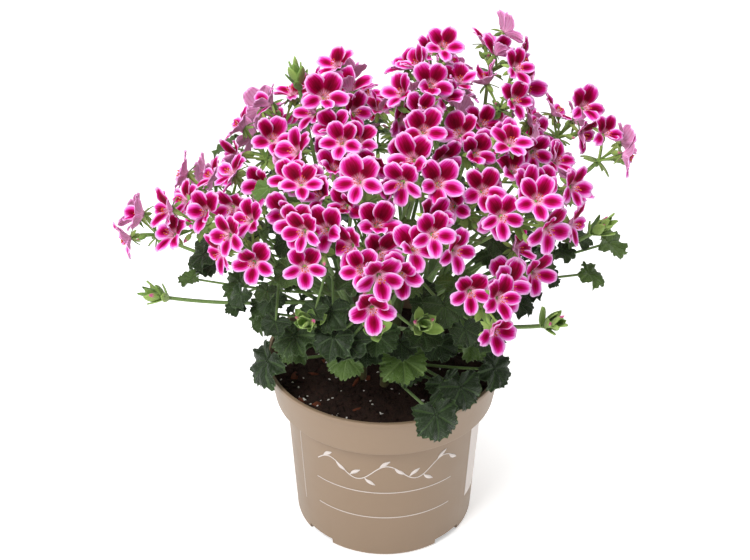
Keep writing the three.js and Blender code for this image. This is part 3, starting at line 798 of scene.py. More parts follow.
def add_petal(skin, bloom, i):
    upper = i in (0, 4)
    seed = bloom.seed + i * 0.13
    size = bloom.scale * (1 + spread(seed, 0.05))
    length = (UPPER_PETAL_LENGTH if upper else LOWER_PETAL_LENGTH) * size
    half = (UPPER_PETAL_HALF_WIDTH if upper else LOWER_PETAL_HALF_WIDTH) * size
    half *= 1 + spread(seed + 3.1, 0.14)
    angle = {0: 33, 4: 327}.get(i, 36 + 72 * i) * DEGREE + spread(seed + 2.7, 0.05)
    up, side = frame_of(bloom.facing)
    along = fan(up, -side, angle)
    across = np.cross(along, bloom.facing)
    # A shallow notch and scallops at the tip
    notch = 0.05 * draw(seed + 5.3) * np.exp(-(U / 0.3) ** 2) * V ** 6
    scallop = 0.012 * np.sin(U * 9 + seed * 7) * V ** 4
    bulge = 0.88 * V + 0.12 * V ** 3 * (1 - U ** 2)
    reach = PETAL_START + (length - PETAL_START) * (bulge - notch + scallop)
    x = half * petal_width(V) * U * (1 + 0.03 * np.sin(V * 11 + seed * 5) * np.abs(U))
    # The petal rolls back, dishes across, ruffles at its edge and dips to the throat
    roll = 0.05 + 0.16 * draw(seed + 1.9)
    dish = (0.02 + 0.2 * draw(seed + 4.1)) * half
    rise = -length * roll * V ** 3 + dish * U ** 2 * V
    rise += 0.65 * np.sin(U * 5.5 + seed * 9) * V ** 2
    rise += 0.45 * np.sin(V * 13 + U * 4 + seed * 6) * np.abs(U) ** 1.5 * V
    rise += 0.25 * np.sin(V * 9 + seed * 3) * np.abs(U) ** 2
    rise -= 1.6 * (1 - V) ** 3
    rise += {0: 0.7, 4: 0.1}.get(i, 0.35) * V
    # It opens as wide as its neighbours allow
    best = math.inf
    for lifted in PETAL_LIFTS:
        cup = bloom.cup + lifted * DEGREE
        ahead = fan(along, bloom.facing, cup)
        inward = bloom.facing * math.cos(cup) - along * math.sin(cup)
        tried = (bloom.centre + ahead * reach[..., None] + across * x[..., None]
                 + inward * rise[..., None])
        over = overshoot(tried, bloom)
        if over < best:
            best, grid = over, tried
        if over < PETAL_OVERLAP:
            break
    grid = bent_inside(grid, bloom, PETAL_OVERLAP, 2.5)
    rim = np.maximum(np.abs(U) ** 2.5, V ** 5) * np.minimum(V * 3, 1)
    thickness = 0.34 - 0.2 * rim
    thin_sheet(skin, grid, thickness, across=U, along=V, rim=rim,
               upper=float(upper), tone=draw(seed + 6.6))


# Round, drop and crumb shapes
def drop(skin, start, direction, length, radius, sides=10, steps=7, ridge=0.0, **values):
    """A pointed drop, such as a bud or an anther, with shallow ridges along it."""
    shares = (1 - np.cos(np.linspace(0.12, 0.97, steps) * math.pi)) / 2
    swell = np.sin(shares ** 0.8 * math.pi) ** 0.75 * (1 - 0.25 * shares)
    up, side = frame_of(direction)
    angles = np.arange(sides) / sides * TURN
    ripple = 1 + ridge * np.cos(angles * 5)
    arms = (np.cos(angles)[:, None] * up + np.sin(angles)[:, None] * side)
    rings = start + direction * (shares * length)[:, None, None]
    rings = rings + arms[None] * (swell[:, None] * ripple * radius)[..., None]
    points = np.vstack([rings.reshape(-1, 3), [start], [start + direction * length]])
    faces = [group[:, ::-1] for group in closed_rings(steps, sides)]
    skin.add(points, faces, along=np.concatenate([np.repeat(shares, sides), [0, 1]]), **values)


def slip(skin, start, direction, facing, length, half, curl, rows=5, cols=3, **values):
    """A narrow pointed blade, such as a sepal or a bract, which curls along its length."""
    across = unit(np.cross(direction, facing))
    normal = np.cross(across, direction)
    u, v = np.meshgrid(np.linspace(-1, 1, cols), np.linspace(0, 1, rows))
    swell = 0.45 + 0.55 * np.sin(np.minimum(v * 1.9, 1.57))
    width = half * swell * np.maximum(1 - v ** 3, 0) ** 0.75 + 0.08
    rise = curl * length * v ** 2 + 0.25 * half * u ** 2
    grid = (start + direction * (length * v)[..., None] + across * (width * u)[..., None]
            + normal * rise[..., None])
    thin_sheet(skin, grid, 0.25, along=v, across=u, **values)


# Leaves
half_angles, half_shares = zip(*LEAF_HALF_OUTLINE)
half_pleats = [(-1.0, 1.0)[i % 2] for i in range(len(LEAF_HALF_OUTLINE))]
outline_angles = [*half_angles, LEAF_SINUS[0], *[360 - angle for angle in reversed(half_angles)]]
outline_shares = [*half_shares, LEAF_SINUS[1], *reversed(half_shares)]
outline_pleats = [*half_pleats, -1.0, *reversed(half_pleats)]


def eased(at, spots, heights):
    """A smooth line through the given heights, level at each of them."""
    at = np.asarray(at, float)
    place = np.clip(np.searchsorted(spots, at, side="right") - 1, 0, len(spots) - 2)
    spots = np.asarray(spots, float)
    heights = np.asarray(heights, float)
    share = (at - spots[place]) / (spots[place + 1] - spots[place])
    share = (1 - np.cos(np.clip(share, 0, 1) * math.pi)) / 2
    return heights[place] * (1 - share) + heights[place + 1] * share


def add_leaf(skin, leaf, seed, grid_size, young):
    around, rows = grid_size
    angles = 360 - np.arange(around) * 360 / around - 0.001
    teeth = np.abs(((angles / 360 * LEAF_TEETH + draw(seed)) % 1) - 0.5) * 2
    share = eased(angles, outline_angles, outline_shares)
    share = share * (1 + 0.15 * (teeth ** 0.8 - 0.5) * np.minimum(share * 1.6, 1) ** 3)
    share *= 1 + 0.06 * np.sin(angles * DEGREE * 2 + seed)
    pleat = eased(angles, outline_angles, outline_pleats)
    share_grid, ring = np.meshgrid(share, np.linspace(0.07, 1, rows))
    pleat_grid = np.broadcast_to(pleat, ring.shape)
    angle_grid = np.broadcast_to(angles * DEGREE, ring.shape)
    out = share_grid * ring
    side = np.cross(leaf.facing, leaf.tip)
    rise = leaf.radius * (LEAF_CUP * out + LEAF_PLEAT * pleat_grid * ring ** 1.2)
    # Waves between the lobes, crinkles at the edge, a droop, a tilt and small puckers
    curl = spread(seed + 0.7, 1.0)
    rise += leaf.radius * 0.1 * np.sin(angle_grid * 9 + seed * 3) * ring ** 2.5
    rise += leaf.radius * 0.05 * np.sin(angle_grid * 23 + seed * 5) * ring ** 4
    rise -= leaf.radius * (0.14 + 0.14 * curl) * out ** 2 * ring ** 2
    rise += leaf.radius * 0.12 * np.sin(angle_grid + seed * 7) * ring ** 2
    rise += leaf.radius * 0.03 * np.sin(out * 20) * np.abs(pleat_grid)
    arm = np.cos(angle_grid)[..., None] * leaf.tip + np.sin(angle_grid)[..., None] * side
    grid = leaf.middle + arm * (out * leaf.radius)[..., None] + leaf.facing * rise[..., None]
    lobe = (pleat_grid + 1) / 2
    thin_sheet(skin, grid, 0.5 - 0.3 * ring, wrap=True, lobe=lobe, reach=ring,
               turn=angle_grid / TURN, tone=draw(seed + 0.2), young=young)


def add_petiole(skin, leaf, young):
    """The stalk of a leaf sags a little on its way."""
    length = np.linalg.norm(leaf.middle - leaf.start)
    sag = mixed(leaf.start, leaf.middle, 0.5) - [0, 0, 0.04 * length]
    end = leaf.middle - leaf.facing * 0.4
    line = Bezier(leaf.start, sag, end).even(9)
    radius = PETIOLE_RADIUS * (0.62 + 0.38 * min(leaf.radius / 18, 1))
    tube(skin, line, np.linspace(radius, radius * 0.72, 10), 8, along=np.linspace(0.3, 1, 10),
         young=young, tone=draw(leaf.radius))


# Colour and finish
def tint(red, green, blue):
    """A screen colour, 0 to 255 in each channel, as the light values that a shader works in."""
    values = []
    for channel in (red, green, blue):
        share = channel / 255
        values.append(share / 12.92 if share <= 0.04045 else ((share + 0.055) / 1.055) ** 2.4)
    return (*values, 1.0)


class Bench:
    """Nodes for one material or one shared effect."""

    def __init__(self, tree):
        self.tree = tree

    def node(self, kind, inputs=None, **settings):
        made = self.tree.nodes.new(kind)
        for name, value in settings.items():
            setattr(made, name, value)
        for name, value in (inputs or {}).items():
            self.feed(made.inputs[name], value)
        return made

    def feed(self, socket, value):
        if isinstance(value, bpy.types.NodeSocket):
            self.tree.links.new(value, socket)
        else:
            socket.default_value = value

    def math(self, operation, *values, clamp=False):
        given = dict(enumerate(values))
        return self.node("ShaderNodeMath", given, operation=operation, use_clamp=clamp).outputs[0]

    def plus(self, a, b, clamp=False):
        return self.math("ADD", a, b, clamp=clamp)

    def minus(self, a, b):
        return self.math("SUBTRACT", a, b)

    def times(self, a, b, clamp=False):
        return self.math("MULTIPLY", a, b, clamp=clamp)

    def over(self, a, b):
        return self.math("DIVIDE", a, b)

    def value_of(self, name):
        return self.node("ShaderNodeAttribute", attribute_name=name).outputs["Fac"]

    def between(self, value, low, high):
        given = {"Value": value, "From Min": low, "From Max": high}
        made = self.node("ShaderNodeMapRange", given, interpolation_type="SMOOTHSTEP")
        return made.outputs["Result"]

    def blend(self, share, a, b, kind="MIX"):
        given = {"Factor": share, 6: a, 7: b}
        return self.node("ShaderNodeMix", given, data_type="RGBA", blend_type=kind).outputs[2]

    def ramp(self, value, stops):
        made = self.node("ShaderNodeValToRGB", {"Fac": value})
        elements = made.color_ramp.elements
        while len(elements) < len(stops):
            elements.new(0.5)
        for element, (place, colour) in zip(elements, stops):
            element.position = place
            element.color = colour
        return made.outputs["Color"]

    def combine(self, x, y, z):
        return self.node("ShaderNodeCombineXYZ", {"X": x, "Y": y, "Z": z}).outputs[0]

    def noise(self, vector, scale, detail=3.0, roughness=0.55):
        given = {"Vector": vector, "Scale": scale, "Detail": detail, "Roughness": roughness}
        return self.node("ShaderNodeTexNoise", given).outputs["Fac"]

    def place(self):
        return self.node("ShaderNodeTexCoord").outputs["Object"]


def effect(name, inputs, outputs):
    """A shared effect: a node group with named inputs and outputs."""
    group = bpy.data.node_groups.new(name, "ShaderNodeTree")
    for label, kind, value in inputs:
        socket = group.interface.new_socket(label, in_out="INPUT", socket_type=kind)
        socket.default_value = value
    for label, kind in outputs:
        group.interface.new_socket(label, in_out="OUTPUT", socket_type=kind)
    bench = Bench(group)
    start = bench.node("NodeGroupInput")
    end = bench.node("NodeGroupOutput")
    return group, bench, start.outputs, end.inputs


COLOUR = "NodeSocketColor"
NUMBER = "NodeSocketFloat"


def drifting_tone():
    """Slow and fine drifts of lightness over a surface."""
    group, bench, given, result = effect(
        "drifting_tone",
        [
            ("Colour", COLOUR, (0.5, 0.5, 0.5, 1)),
            ("Scale", NUMBER, 100.0),
            ("Amount", NUMBER, 0.2),
        ],
        [("Colour", COLOUR)],
    )
    slow = bench.noise(bench.place(), given["Scale"])
    fine = bench.noise(bench.place(), bench.times(given["Scale"], 6.0), 2.0)
    both = bench.plus(bench.times(slow, 0.7), bench.times(fine, 0.3))
    lift = bench.times(bench.minus(both, 0.5), given["Amount"])
    shade = bench.plus(bench.times(lift, 2.0), 1.0)
    light = bench.node("ShaderNodeCombineColor", {"Red": shade, "Green": shade, "Blue": shade})
    bench.feed(result["Colour"], bench.blend(1.0, given["Colour"], light.outputs[0], "MULTIPLY"))
    return group


def fine_grain():
    """A small relief for grain, felt or skin."""
    group, bench, given, result = effect(
        "fine_grain",
        [("Scale", NUMBER, 1000.0), ("Depth", NUMBER, 0.5)],
        [("Height", NUMBER)],
    )
    coarse = bench.noise(bench.place(), given["Scale"])
    fine = bench.noise(bench.place(), bench.times(given["Scale"], 4.0), 2.0)
    both = bench.plus(coarse, bench.times(fine, 0.4))
    bench.feed(result["Height"], bench.times(both, given["Depth"]))
    return group


def leaf_veins():
    """Main veins from the heart of a leaf to its lobes, side veins, and the puckers between."""
    group, bench, given, result = effect(
        "leaf_veins",
        [("Width", NUMBER, 0.03)],
        [("Main", NUMBER), ("Side", NUMBER), ("Height", NUMBER)],
    )
    lobe = bench.value_of("lobe")
    reach = bench.value_of("reach")
    away = bench.times(bench.times(lobe, reach), 0.5)
    wide = bench.times(given["Width"], bench.minus(1.5, reach))
    main = bench.minus(1.0, bench.between(bench.over(away, wide), 0.5, 1.6))
    slant = bench.times(reach, bench.minus(7.0, bench.times(lobe, 3.4)))
    wave = bench.math("ABSOLUTE", bench.minus(bench.math("FRACT", slant), 0.5))
    line = bench.between(wave, 0.36, 0.49)
    faded = bench.times(line, bench.between(reach, 0.1, 0.3))
    bench.feed(result["Main"], main)
    bench.feed(result["Side"], faded)
    both = bench.math("MAXIMUM", main, bench.times(faded, 0.7))
    bench.feed(result["Height"], bench.minus(1.0, both))
    return group


def petal_streaks():
    """Fine streaks that run from the throat of a bloom out along a petal."""
    group, bench, given, result = effect(
        "petal_streaks",
        [("Count", NUMBER, 9.0)],
        [("Streak", NUMBER), ("Vein", NUMBER)],
    )
    across = bench.times(bench.value_of("across"), given["Count"])
    along = bench.times(bench.value_of("along"), 2.2)
    tone = bench.times(bench.value_of("tone"), 40.0)
    bench.feed(result["Streak"], bench.noise(bench.combine(across, along, tone), 1.0))
    wander = bench.times(bench.noise(bench.combine(along, tone, 0.0), 1.4), 3.0)
    wave = bench.math("SINE", bench.plus(bench.times(across, 2.1), wander))
    bench.feed(result["Vein"], bench.between(wave, 0.55, 0.95))
    return group


TONE = drifting_tone()
GRAIN = fine_grain()
VEINS = leaf_veins()
STREAKS = petal_streaks()


class Finish(Bench):
    """One material with its own Principled shader."""

    def __init__(self, name, roughness, specular=0.5):
        self.material = bpy.data.materials.new(name)
        self.material.use_nodes = True
        super().__init__(self.material.node_tree)
        self.shader = self.tree.nodes["Principled BSDF"]
        self.shader.inputs["Roughness"].default_value = roughness
        self.shader.inputs["Specular IOR Level"].default_value = specular

    def shared(self, group, **values):
        made = self.node("ShaderNodeGroup", node_tree=group)
        for name, value in values.items():
            self.feed(made.inputs[name], value)
        return made.outputs

    def toned(self, colour, scale, amount):
        return self.shared(TONE, Colour=colour, Scale=scale, Amount=amount)["Colour"]

    def grain(self, scale, depth):
        return self.shared(GRAIN, Scale=scale, Depth=depth)["Height"]

    def colour(self, value):
        self.feed(self.shader.inputs["Base Color"], value)

    def sheen(self, weight):
        self.shader.inputs["Sheen Weight"].default_value = weight

    def relief(self, height, distance, strength=0.6):
        given = {"Strength": strength, "Distance": distance, "Height": height}
        self.feed(self.shader.inputs["Normal"], self.node("ShaderNodeBump", given).outputs[0])

    def done(self, colour, tone, grain, relief):
        """The material, with a drifting tone over its colour and a grain for its relief."""
        self.colour(self.toned(colour, *tone))
        self.relief(self.grain(*grain), *relief)
        return self.material


def petal_finish():
    make = Finish("petal_velvet", 0.66, 0.04)
    across = make.value_of("across")
    along = make.value_of("along")
    upper = make.value_of("upper")
    tone = make.value_of("tone")
    streaks = make.shared(STREAKS, Count=8.0)
    vein = streaks["Vein"]
    feather = make.times(make.minus(streaks["Streak"], 0.5), 0.9)

    def blotch(width, height, middle):
        """How far a place lies from the middle of the dark blotch, with feathered edges."""
        x = make.over(across, width)
        y = make.over(make.minus(along, middle), height)
        away = make.math("SQRT", make.plus(make.times(x, x), make.times(y, y)))
        drift = make.times(make.minus(tone, 0.5), 0.25)
        return make.times(make.plus(make.plus(away, feather), drift), 0.4)

    dark = make.ramp(blotch(0.72, 0.42, 0.45), [
        (0.0, tint(82, 0, 20)), (0.20, tint(110, 0, 32)), (0.33, tint(146, 2, 60)),
        (0.43, tint(184, 14, 112)), (0.56, tint(212, 68, 170)), (0.78, tint(236, 144, 216)),
    ])
    light = make.ramp(blotch(0.52, 0.30, 0.56), [
        (0.0, tint(112, 0, 30)), (0.20, tint(140, 2, 50)), (0.36, tint(188, 14, 110)),
        (0.50, tint(218, 72, 174)), (0.66, tint(236, 144, 216)), (0.92, tint(246, 196, 238)),
    ])
    face = make.blend(upper, light, dark)
    throat = make.minus(1.0, make.between(along, 0.10, 0.34))
    throat = make.times(throat, make.minus(0.95, make.times(upper, 0.45)))
    face = make.blend(throat, face, make.blend(vein, tint(244, 196, 214), tint(176, 26, 84)))
    lines = make.times(vein, make.minus(0.55, make.times(along, 0.5)))
    face = make.blend(make.times(lines, 0.5, clamp=True), face, tint(150, 6, 60))
    edge = make.between(make.plus(make.value_of("rim"), make.times(feather, 0.3)), 0.48, 0.98)
    face = make.blend(make.times(edge, 0.8), face, tint(246, 198, 242))
    back = make.blend(0.66, face, tint(246, 180, 226))
    back = make.blend(make.times(vein, 0.4), back, tint(196, 66, 140))
    face = make.blend(make.value_of("underside"), face, back)
    make.colour(make.toned(face, 260.0, 0.12))
    make.relief(make.plus(make.grain(1400.0, 0.35), make.times(vein, -0.5)), 0.00018)
    return make.material


def leaf_finish():
    make = Finish("crinkled_leaf", 0.46, 0.3)
    make.sheen(0.08)
    young = make.value_of("young")
    tone = make.value_of("tone")
    veins = make.shared(VEINS, Width=0.02)

    def by_age(old, fresh):
        return make.blend(young, old, fresh)

    base = by_age(
        make.blend(tone, tint(18, 31, 9), tint(37, 56, 17)),
        make.blend(tone, tint(84, 122, 44), tint(134, 168, 74)),
    )
    mottle = make.times(make.noise(make.place(), 160.0), 0.45)
    base = make.blend(mottle, base, by_age(tint(46, 70, 30), tint(112, 146, 56)))
    pale = by_age(tint(78, 104, 56), tint(164, 190, 108))
    lines = make.plus(make.times(veins["Main"], 0.34), make.times(veins["Side"], 0.16), True)
    base = make.blend(lines, base, pale)
    rim = make.between(make.value_of("reach"), 0.9, 1.0)
    base = make.blend(make.times(rim, 0.45), base, pale)
    grey = make.blend(0.6, base, by_age(tint(104, 126, 92), tint(150, 180, 110)))
    base = make.blend(make.value_of("underside"), base, grey)
    make.colour(make.toned(base, 90.0, 0.25))
    make.relief(make.plus(make.grain(900.0, 0.5), make.times(veins["Height"], 1.2)), 0.0005, 0.8)
    return make.material


def stem_finish():
    make = Finish("downy_stem", 0.6, 0.35)
    make.sheen(0.15)
    green = make.blend(make.value_of("young"), tint(84, 108, 58), tint(126, 152, 82))
    woody = make.blend(make.noise(make.place(), 300.0), tint(96, 84, 56), tint(120, 104, 72))
    base = make.blend(make.between(make.value_of("along"), 0.0, 0.5), woody, green)
    return make.done(base, (200.0, 0.35), (1100.0, 0.8), (0.0003,))


def bud_finish():
    make = Finish("downy_bud", 0.58, 0.35)
    make.sheen(0.2)
    tone = make.value_of("tone")
    green = make.blend(tone, tint(100, 134, 54), tint(150, 178, 90))
    pink = make.blend(tone, tint(176, 40, 104), tint(206, 96, 150))
    show = make.between(make.plus(make.value_of("along"), make.times(tone, 0.25)), 0.8, 1.06)
    base = make.blend(make.times(show, make.value_of("closed_bloom")), green, pink)
    return make.done(base, (320.0, 0.3), (1300.0, 0.8), (0.0003,))


def stamen_finish():
    make = Finish("stamens", 0.5, 0.4)
    pale = make.toned(tint(236, 176, 196), 500.0, 0.2)
    ripe = make.toned(tint(206, 92, 44), 700.0, 0.5)
    make.colour(make.blend(make.value_of("anther"), pale, ripe))
    make.relief(make.grain(2600.0, 1.0), 0.0002)
    return make.material


def pot_finish():
    make = Finish("moulded_taupe", 0.42, 0.4)
    rough = make.plus(0.36, make.times(make.noise(make.place(), 60.0), 0.16))
    make.feed(make.shader.inputs["Roughness"], rough)
    return make.done(tint(141, 119, 97), (18.0, 0.05), (2200.0, 0.5), (0.00006, 0.5))


def ink_finish():
    make = Finish("pale_print", 0.5, 0.4)
    return make.done(tint(213, 203, 197), (120.0, 0.08), (3000.0, 0.4), (0.00005, 0.4))


def speckled_finish(name, surface, scale, dark, light, *rest):
    make = Finish(name, *surface)
    return make.done(make.blend(make.noise(make.place(), scale), dark, light), *rest)


GRIT = ((300.0, 0.3), (1200.0, 1.2), (0.0006, 0.8))
petal_velvet = petal_finish()
crinkled_leaf = leaf_finish()
downy_stem = stem_finish()
downy_bud = bud_finish()
stamens_material = stamen_finish()
moulded_taupe = pot_finish()
pale_print = ink_finish()
damp_peat = speckled_finish(
    "damp_peat", (0.88, 0.25), 260.0, tint(13, 7, 5), tint(62, 40, 31),
    (120.0, 0.6), (600.0, 1.6), (0.0012, 0.9))
perlite_white = speckled_finish(
    "perlite_white", (0.8, 0.3), 500.0, tint(196, 190, 182), tint(240, 238, 232), *GRIT)
bark_brown = speckled_finish(
    "bark_brown", (0.75, 0.3), 500.0, tint(64, 30, 18), tint(122, 62, 36), *GRIT)


# Flower heads
def add_stamens(skin, bloom):
    up, side = frame_of(bloom.facing)
    for i in range(STAMENS):
        seed = bloom.seed + i * 0.31
        flat = fan(up, side, i / STAMENS * TURN + spread(seed, 0.3))
        lean = unit(bloom.facing + flat * 0.32 - up * 0.15)
        start = bloom.centre + bloom.facing * -0.6
        end = start + lean * (4.6 + 1.6 * draw(seed + 0.5))
        line = Bezier(start, mixed(start, end, 0.5) - up * 0.5, end).even(3)
        tube(skin, line, STAMEN_RADII, 4, anther=0.0)
        drop(skin, end - lean * 0.2, lean, 1.7, 0.55, 5, 4, anther=1.0)


def add_calyx(green, bloom, head):
    """The green tube behind a bloom, five sepals, and its stalk down to the hub."""
    facing = bloom.facing
    up, side = frame_of(facing)
    root = bloom.centre - facing * 1.4
    start = head.hub - head.axis * 1.0
    away = unit(root - start)
    bow = mixed(start, root, 0.55) + (head.axis * 0.4 - away * head.axis.dot(away)) * 1.2
    line = Bezier(start, bow, root).even(8)
    tube(green, line, CALYX_RADII, 7, along=np.linspace(0.45, 0.7, 9), tone=draw(bloom.seed))
    for i in range(SEPALS):
        flat = fan(up, side, (i + 0.5) / SEPALS * TURN + spread(bloom.seed + i * 0.17, 0.15))
        direction = unit(flat - facing * (0.35 + 0.5 * draw(bloom.seed + i * 0.7)))
        slip(green, root + flat * 0.9, direction, facing, SEPAL_LENGTH, SEPAL_HALF_WIDTH, -0.12,
             tone=draw(bloom.seed + i))


def add_hub(green, head):
    drop(green, head.hub - head.axis * (HUB_BASE + 0.5), head.axis, 5.2, 2.3, 10, 6, 0.1, tone=0.2)
    up, side = frame_of(head.axis)
    for i in range(HUB_BRACTS):
        flat = fan(up, side, i / HUB_BRACTS * TURN + draw(head.number + 0.4))
        direction = unit(flat - head.axis * spread(head.number + i * 0.7, 0.6))
        length = 7 + 4 * draw(head.number + i * 0.9)
        slip(green, head.hub - head.axis * 1.5 + flat * 1.2, direction, head.axis,
             length, length * 0.32, -0.1, 6, 3, tone=draw(head.number + i * 0.3))
    for i in range(CLOSED_BLOOMS):
        seed = head.number * 7 + i * 1.3
        flat = fan(up, side, (i + draw(seed)) / CLOSED_BLOOMS * TURN)
        direction = unit(head.axis * (0.5 + draw(seed + 0.2)) + flat)
        reach = 8 + 7 * draw(seed + 0.4)
        end = head.hub + direction * reach
        bow = head.hub + direction * reach * 0.5 + head.axis * 1.5
        tube(green, Bezier(head.hub, bow, end).even(6), 0.7, 6, along=0.5, tone=draw(seed))
        drop(green, end - direction * 0.5, unit(direction - [0, 0, 0.35]),
             7 + 3 * draw(seed + 0.6), 2.0, 9, 7, 0.08, tone=draw(seed + 0.8), closed_bloom=1.0)


for head in heads:
    petals = Skin()
    green = Skin()
    stamens = Skin()
    for bloom in head.blooms:
        for i in range(5):
            add_petal(petals, bloom, i)
        add_stamens(stamens, bloom)
        add_calyx(green, bloom, head)
    add_hub(green, head)
    node = "flower_head_" + head.name
    petals.piece("petals_" + head.name, petal_velvet, "petal_pink", node)
    green.piece("calyxes_" + head.name, downy_bud, "leaf_green", node)
    stamens.piece("stamens_" + head.name, stamens_material, "petal_pink", node)


# Stems, leaves and buds of each sector
def add_trunk(skin, sector):
    """A trunk narrows on its way up and has low knots."""
    count = 21
    knots = 1 + 0.08 * np.sin(np.linspace(0, 1, count) * 38 + sector)
    radii = TRUNK_RADIUS * np.linspace(1.0, 0.82, count) * knots
    tube(skin, trunks[sector].even(count - 1), radii, 14,
         along=np.linspace(0, 0.6, count), young=0.0, tone=draw(sector))


def add_stalk(skin, head):
    """A stalk narrows on its way up and swells where it meets its hub."""
    count = 27
    radii = STALK_RADIUS * np.linspace(1.15, 0.85, count)
    radii[-2:] *= 1.25
    tube(skin, head.stalk.even(count - 1), radii, 9, along=np.linspace(0.3, 0.9, count),
         young=np.linspace(0.1, 0.8, count), tone=draw(head.number))


def add_bud_cluster(skin, place, number):
    away = outward_at(place)
    for turn in (-1, 1):
        direction = unit(np.array([-turn * away[1], turn * away[0], 0.5]) + away)
        drop(skin, place - direction * 0.8, direction, 12.8, 2.7, 12, 9, 0.07,
             tone=draw(number + turn), closed_bloom=1.0)
    up, side = frame_of(away)
    for i in range(BUD_BRACTS):
        flat = fan(up, side, i * GOLDEN_ANGLE + draw(number * 3.3))
        direction = unit(flat * 0.7 + away * (1.7 - 0.14 * i) + [0, 0, 0.3])
        length = 11 + 7 * draw(number + i)
        slip(skin, place - away * (0.6 * i), direction, away, length, length * 0.27, 0.16, 9, 7,
             tone=draw(number + i * 0.2))


for sector in range(SECTORS):
    node = f"leafy_stem_{sector + 1}"
    stems = Skin()
    blades = Skin()
    add_trunk(stems, sector)
    for head in heads:
        if head.sector == sector:
            add_stalk(stems, head)
    for number, leaf in enumerate(leaves):
        if leaf.sector == sector:
            height = leaf.middle[2]
            if number < main_leaf_count:
                grid_size = MAIN_LEAF_GRID
                young = 0.5 * draw(number + 0.4) if height > YOUNG_MAIN_LEAVES else 0.0
            else:
                grid_size = SMALL_LEAF_GRID
                share = max(0.0, (height - YOUNG_SMALL_LEAVES) / YOUNGEST_ABOVE)
                young = share * (0.3 + 0.7 * draw(number))
            add_leaf(blades, leaf, number + 0.5, grid_size, young)
            add_petiole(stems, leaf, 0.3 + 0.5 * young)
    buds = Skin()
    for number, spot in enumerate(BUDS):
        place = np.array(spot, float)
        if sector_of(place) == sector:
            start = trunks[sector].at(0.8)
            knee = mixed(start, place, 0.6) - np.array([0, 0, 8])
            tube(stems, Bezier(start, knee, place).even(16), STALK_RADIUS, 9,
                 along=0.6, young=0.5, tone=0.5)
            add_bud_cluster(buds, place, number)
    stems.piece(f"stems_{sector + 1}", downy_stem, "leaf_green", node)
    blades.piece(f"leaves_{sector + 1}", crinkled_leaf, "leaf_green", node)
    if buds.count:
        buds.piece(f"buds_{sector + 1}", downy_bud, "leaf_green", node)


# Pot
def rounded(profile, cuts):
    """Rounds the corners of a profile: each corner has its own radius, or none."""
    result = []
    for i, (spot, cut) in enumerate(zip(profile, cuts)):
        if not cut:
            result.append(spot)
            continue
        here = np.array(spot, float)
        before = np.array(profile[i - 1], float)
        after = np.array(profile[i + 1], float)
        a = here + unit(before - here) * cut
        b = here + unit(after - here) * cut
        for share in (0, 0.25, 0.5, 0.75, 1):
            bend = a * (1 - share) ** 2 + here * 2 * share * (1 - share) + b * share ** 2
            result.append(tuple(bend))
    return result


outside = [
    (0.01, 0), (BASE_RADIUS - 1.2, 0), (BASE_RADIUS, 1.2), (BODY_TOP_RADIUS, COLLAR_BOTTOM - 1.2),
    (COLLAR_RADIUS, COLLAR_BOTTOM), (RIM_RADIUS - 1.4, POT_HEIGHT - 3.4),
    (RIM_RADIUS, POT_HEIGHT - 3.0), (RIM_RADIUS, POT_HEIGHT), (RIM_RADIUS - 2.6, POT_HEIGHT),
    (inner_radius(COLLAR_BOTTOM + 1.4), COLLAR_BOTTOM + 1.4),
    (inner_radius(COLLAR_BOTTOM - 0.1), COLLAR_BOTTOM + 0.8),
    (inner_radius(FLOOR), FLOOR), (0.01, FLOOR),
]
corner_cuts = [0, 0.6, 0.6, 1.2, 1.4, 0.3, 0.3, 0.7, 0.7, 0.6, 0.6, 1.0, 0]


def turned_about(points, turn):
    """Points turned about the upright axis."""
    cos, sin = math.cos(turn), math.sin(turn)
    x, y, z = points.T
    return np.stack([x * cos - y * sin, x * sin + y * cos, z], axis=1)


def notch_boxes():
    skin = Skin()
    sides = (-0.5, 0.5)
    corners = np.array([[x, y, z] for x in sides for y in sides for z in sides])
    corners = corners * (12, NOTCH_WIDTH, 2 * NOTCH_HEIGHT) + [BASE_RADIUS, 0, 0]
    quads = [[0, 1, 3, 2], [4, 6, 7, 5], [0, 4, 5, 1], [2, 3, 7, 6], [0, 2, 6, 4], [1, 5, 7, 3]]
    for i in range(NOTCH_COUNT):
        skin.add(turned_about(corners, FRONT_AZIMUTH + (i + 0.5) / NOTCH_COUNT * TURN), [quads])
    return skin


def cut_away(piece, cutter_skin):
    """Cuts the cutter's boxes out of a piece and keeps the result as its mesh."""
    cutter = placed("cutter", cutter_skin.mesh("cutter"))
    cut = piece.modifiers.new("cut", "BOOLEAN")
    cut.operation = "DIFFERENCE"
    cut.solver = "EXACT"
    cut.object = cutter
    bpy.context.view_layer.update()
    evaluated = piece.evaluated_get(bpy.context.evaluated_depsgraph_get())
    result = bpy.data.meshes.new_from_object(evaluated)
    piece.modifiers.clear()
    piece.data = result
    bpy.data.objects.remove(cutter)


def make_pot():
    profile = np.array(rounded(outside, corner_cuts)[1:-1])
    skin = Skin()
    turned_body(skin, profile[:, :1], profile[:, 1:], POT_SIDES)
    pot = skin.piece("pot_shell", moulded_taupe, "pot_plastic", "pot")
    cut_away(pot, notch_boxes())
    pot.data.set_sharp_from_angle(angle=0.6)


make_pot()


# Print on the pot: thin lines, a plain vine between them, and a pale panel at the side
def body_radius(height):
    return BASE_RADIUS + (BODY_TOP_RADIUS - BASE_RADIUS) * (height - 1.2) / (COLLAR_BOTTOM - 2.4)


def on_pot(s, height, lift=0.10):
    radius = body_radius(height) + lift
    angle = FRONT_AZIMUTH + s / body_radius(60)
    return np.stack([radius * np.cos(angle), radius * np.sin(angle), height], axis=-1)


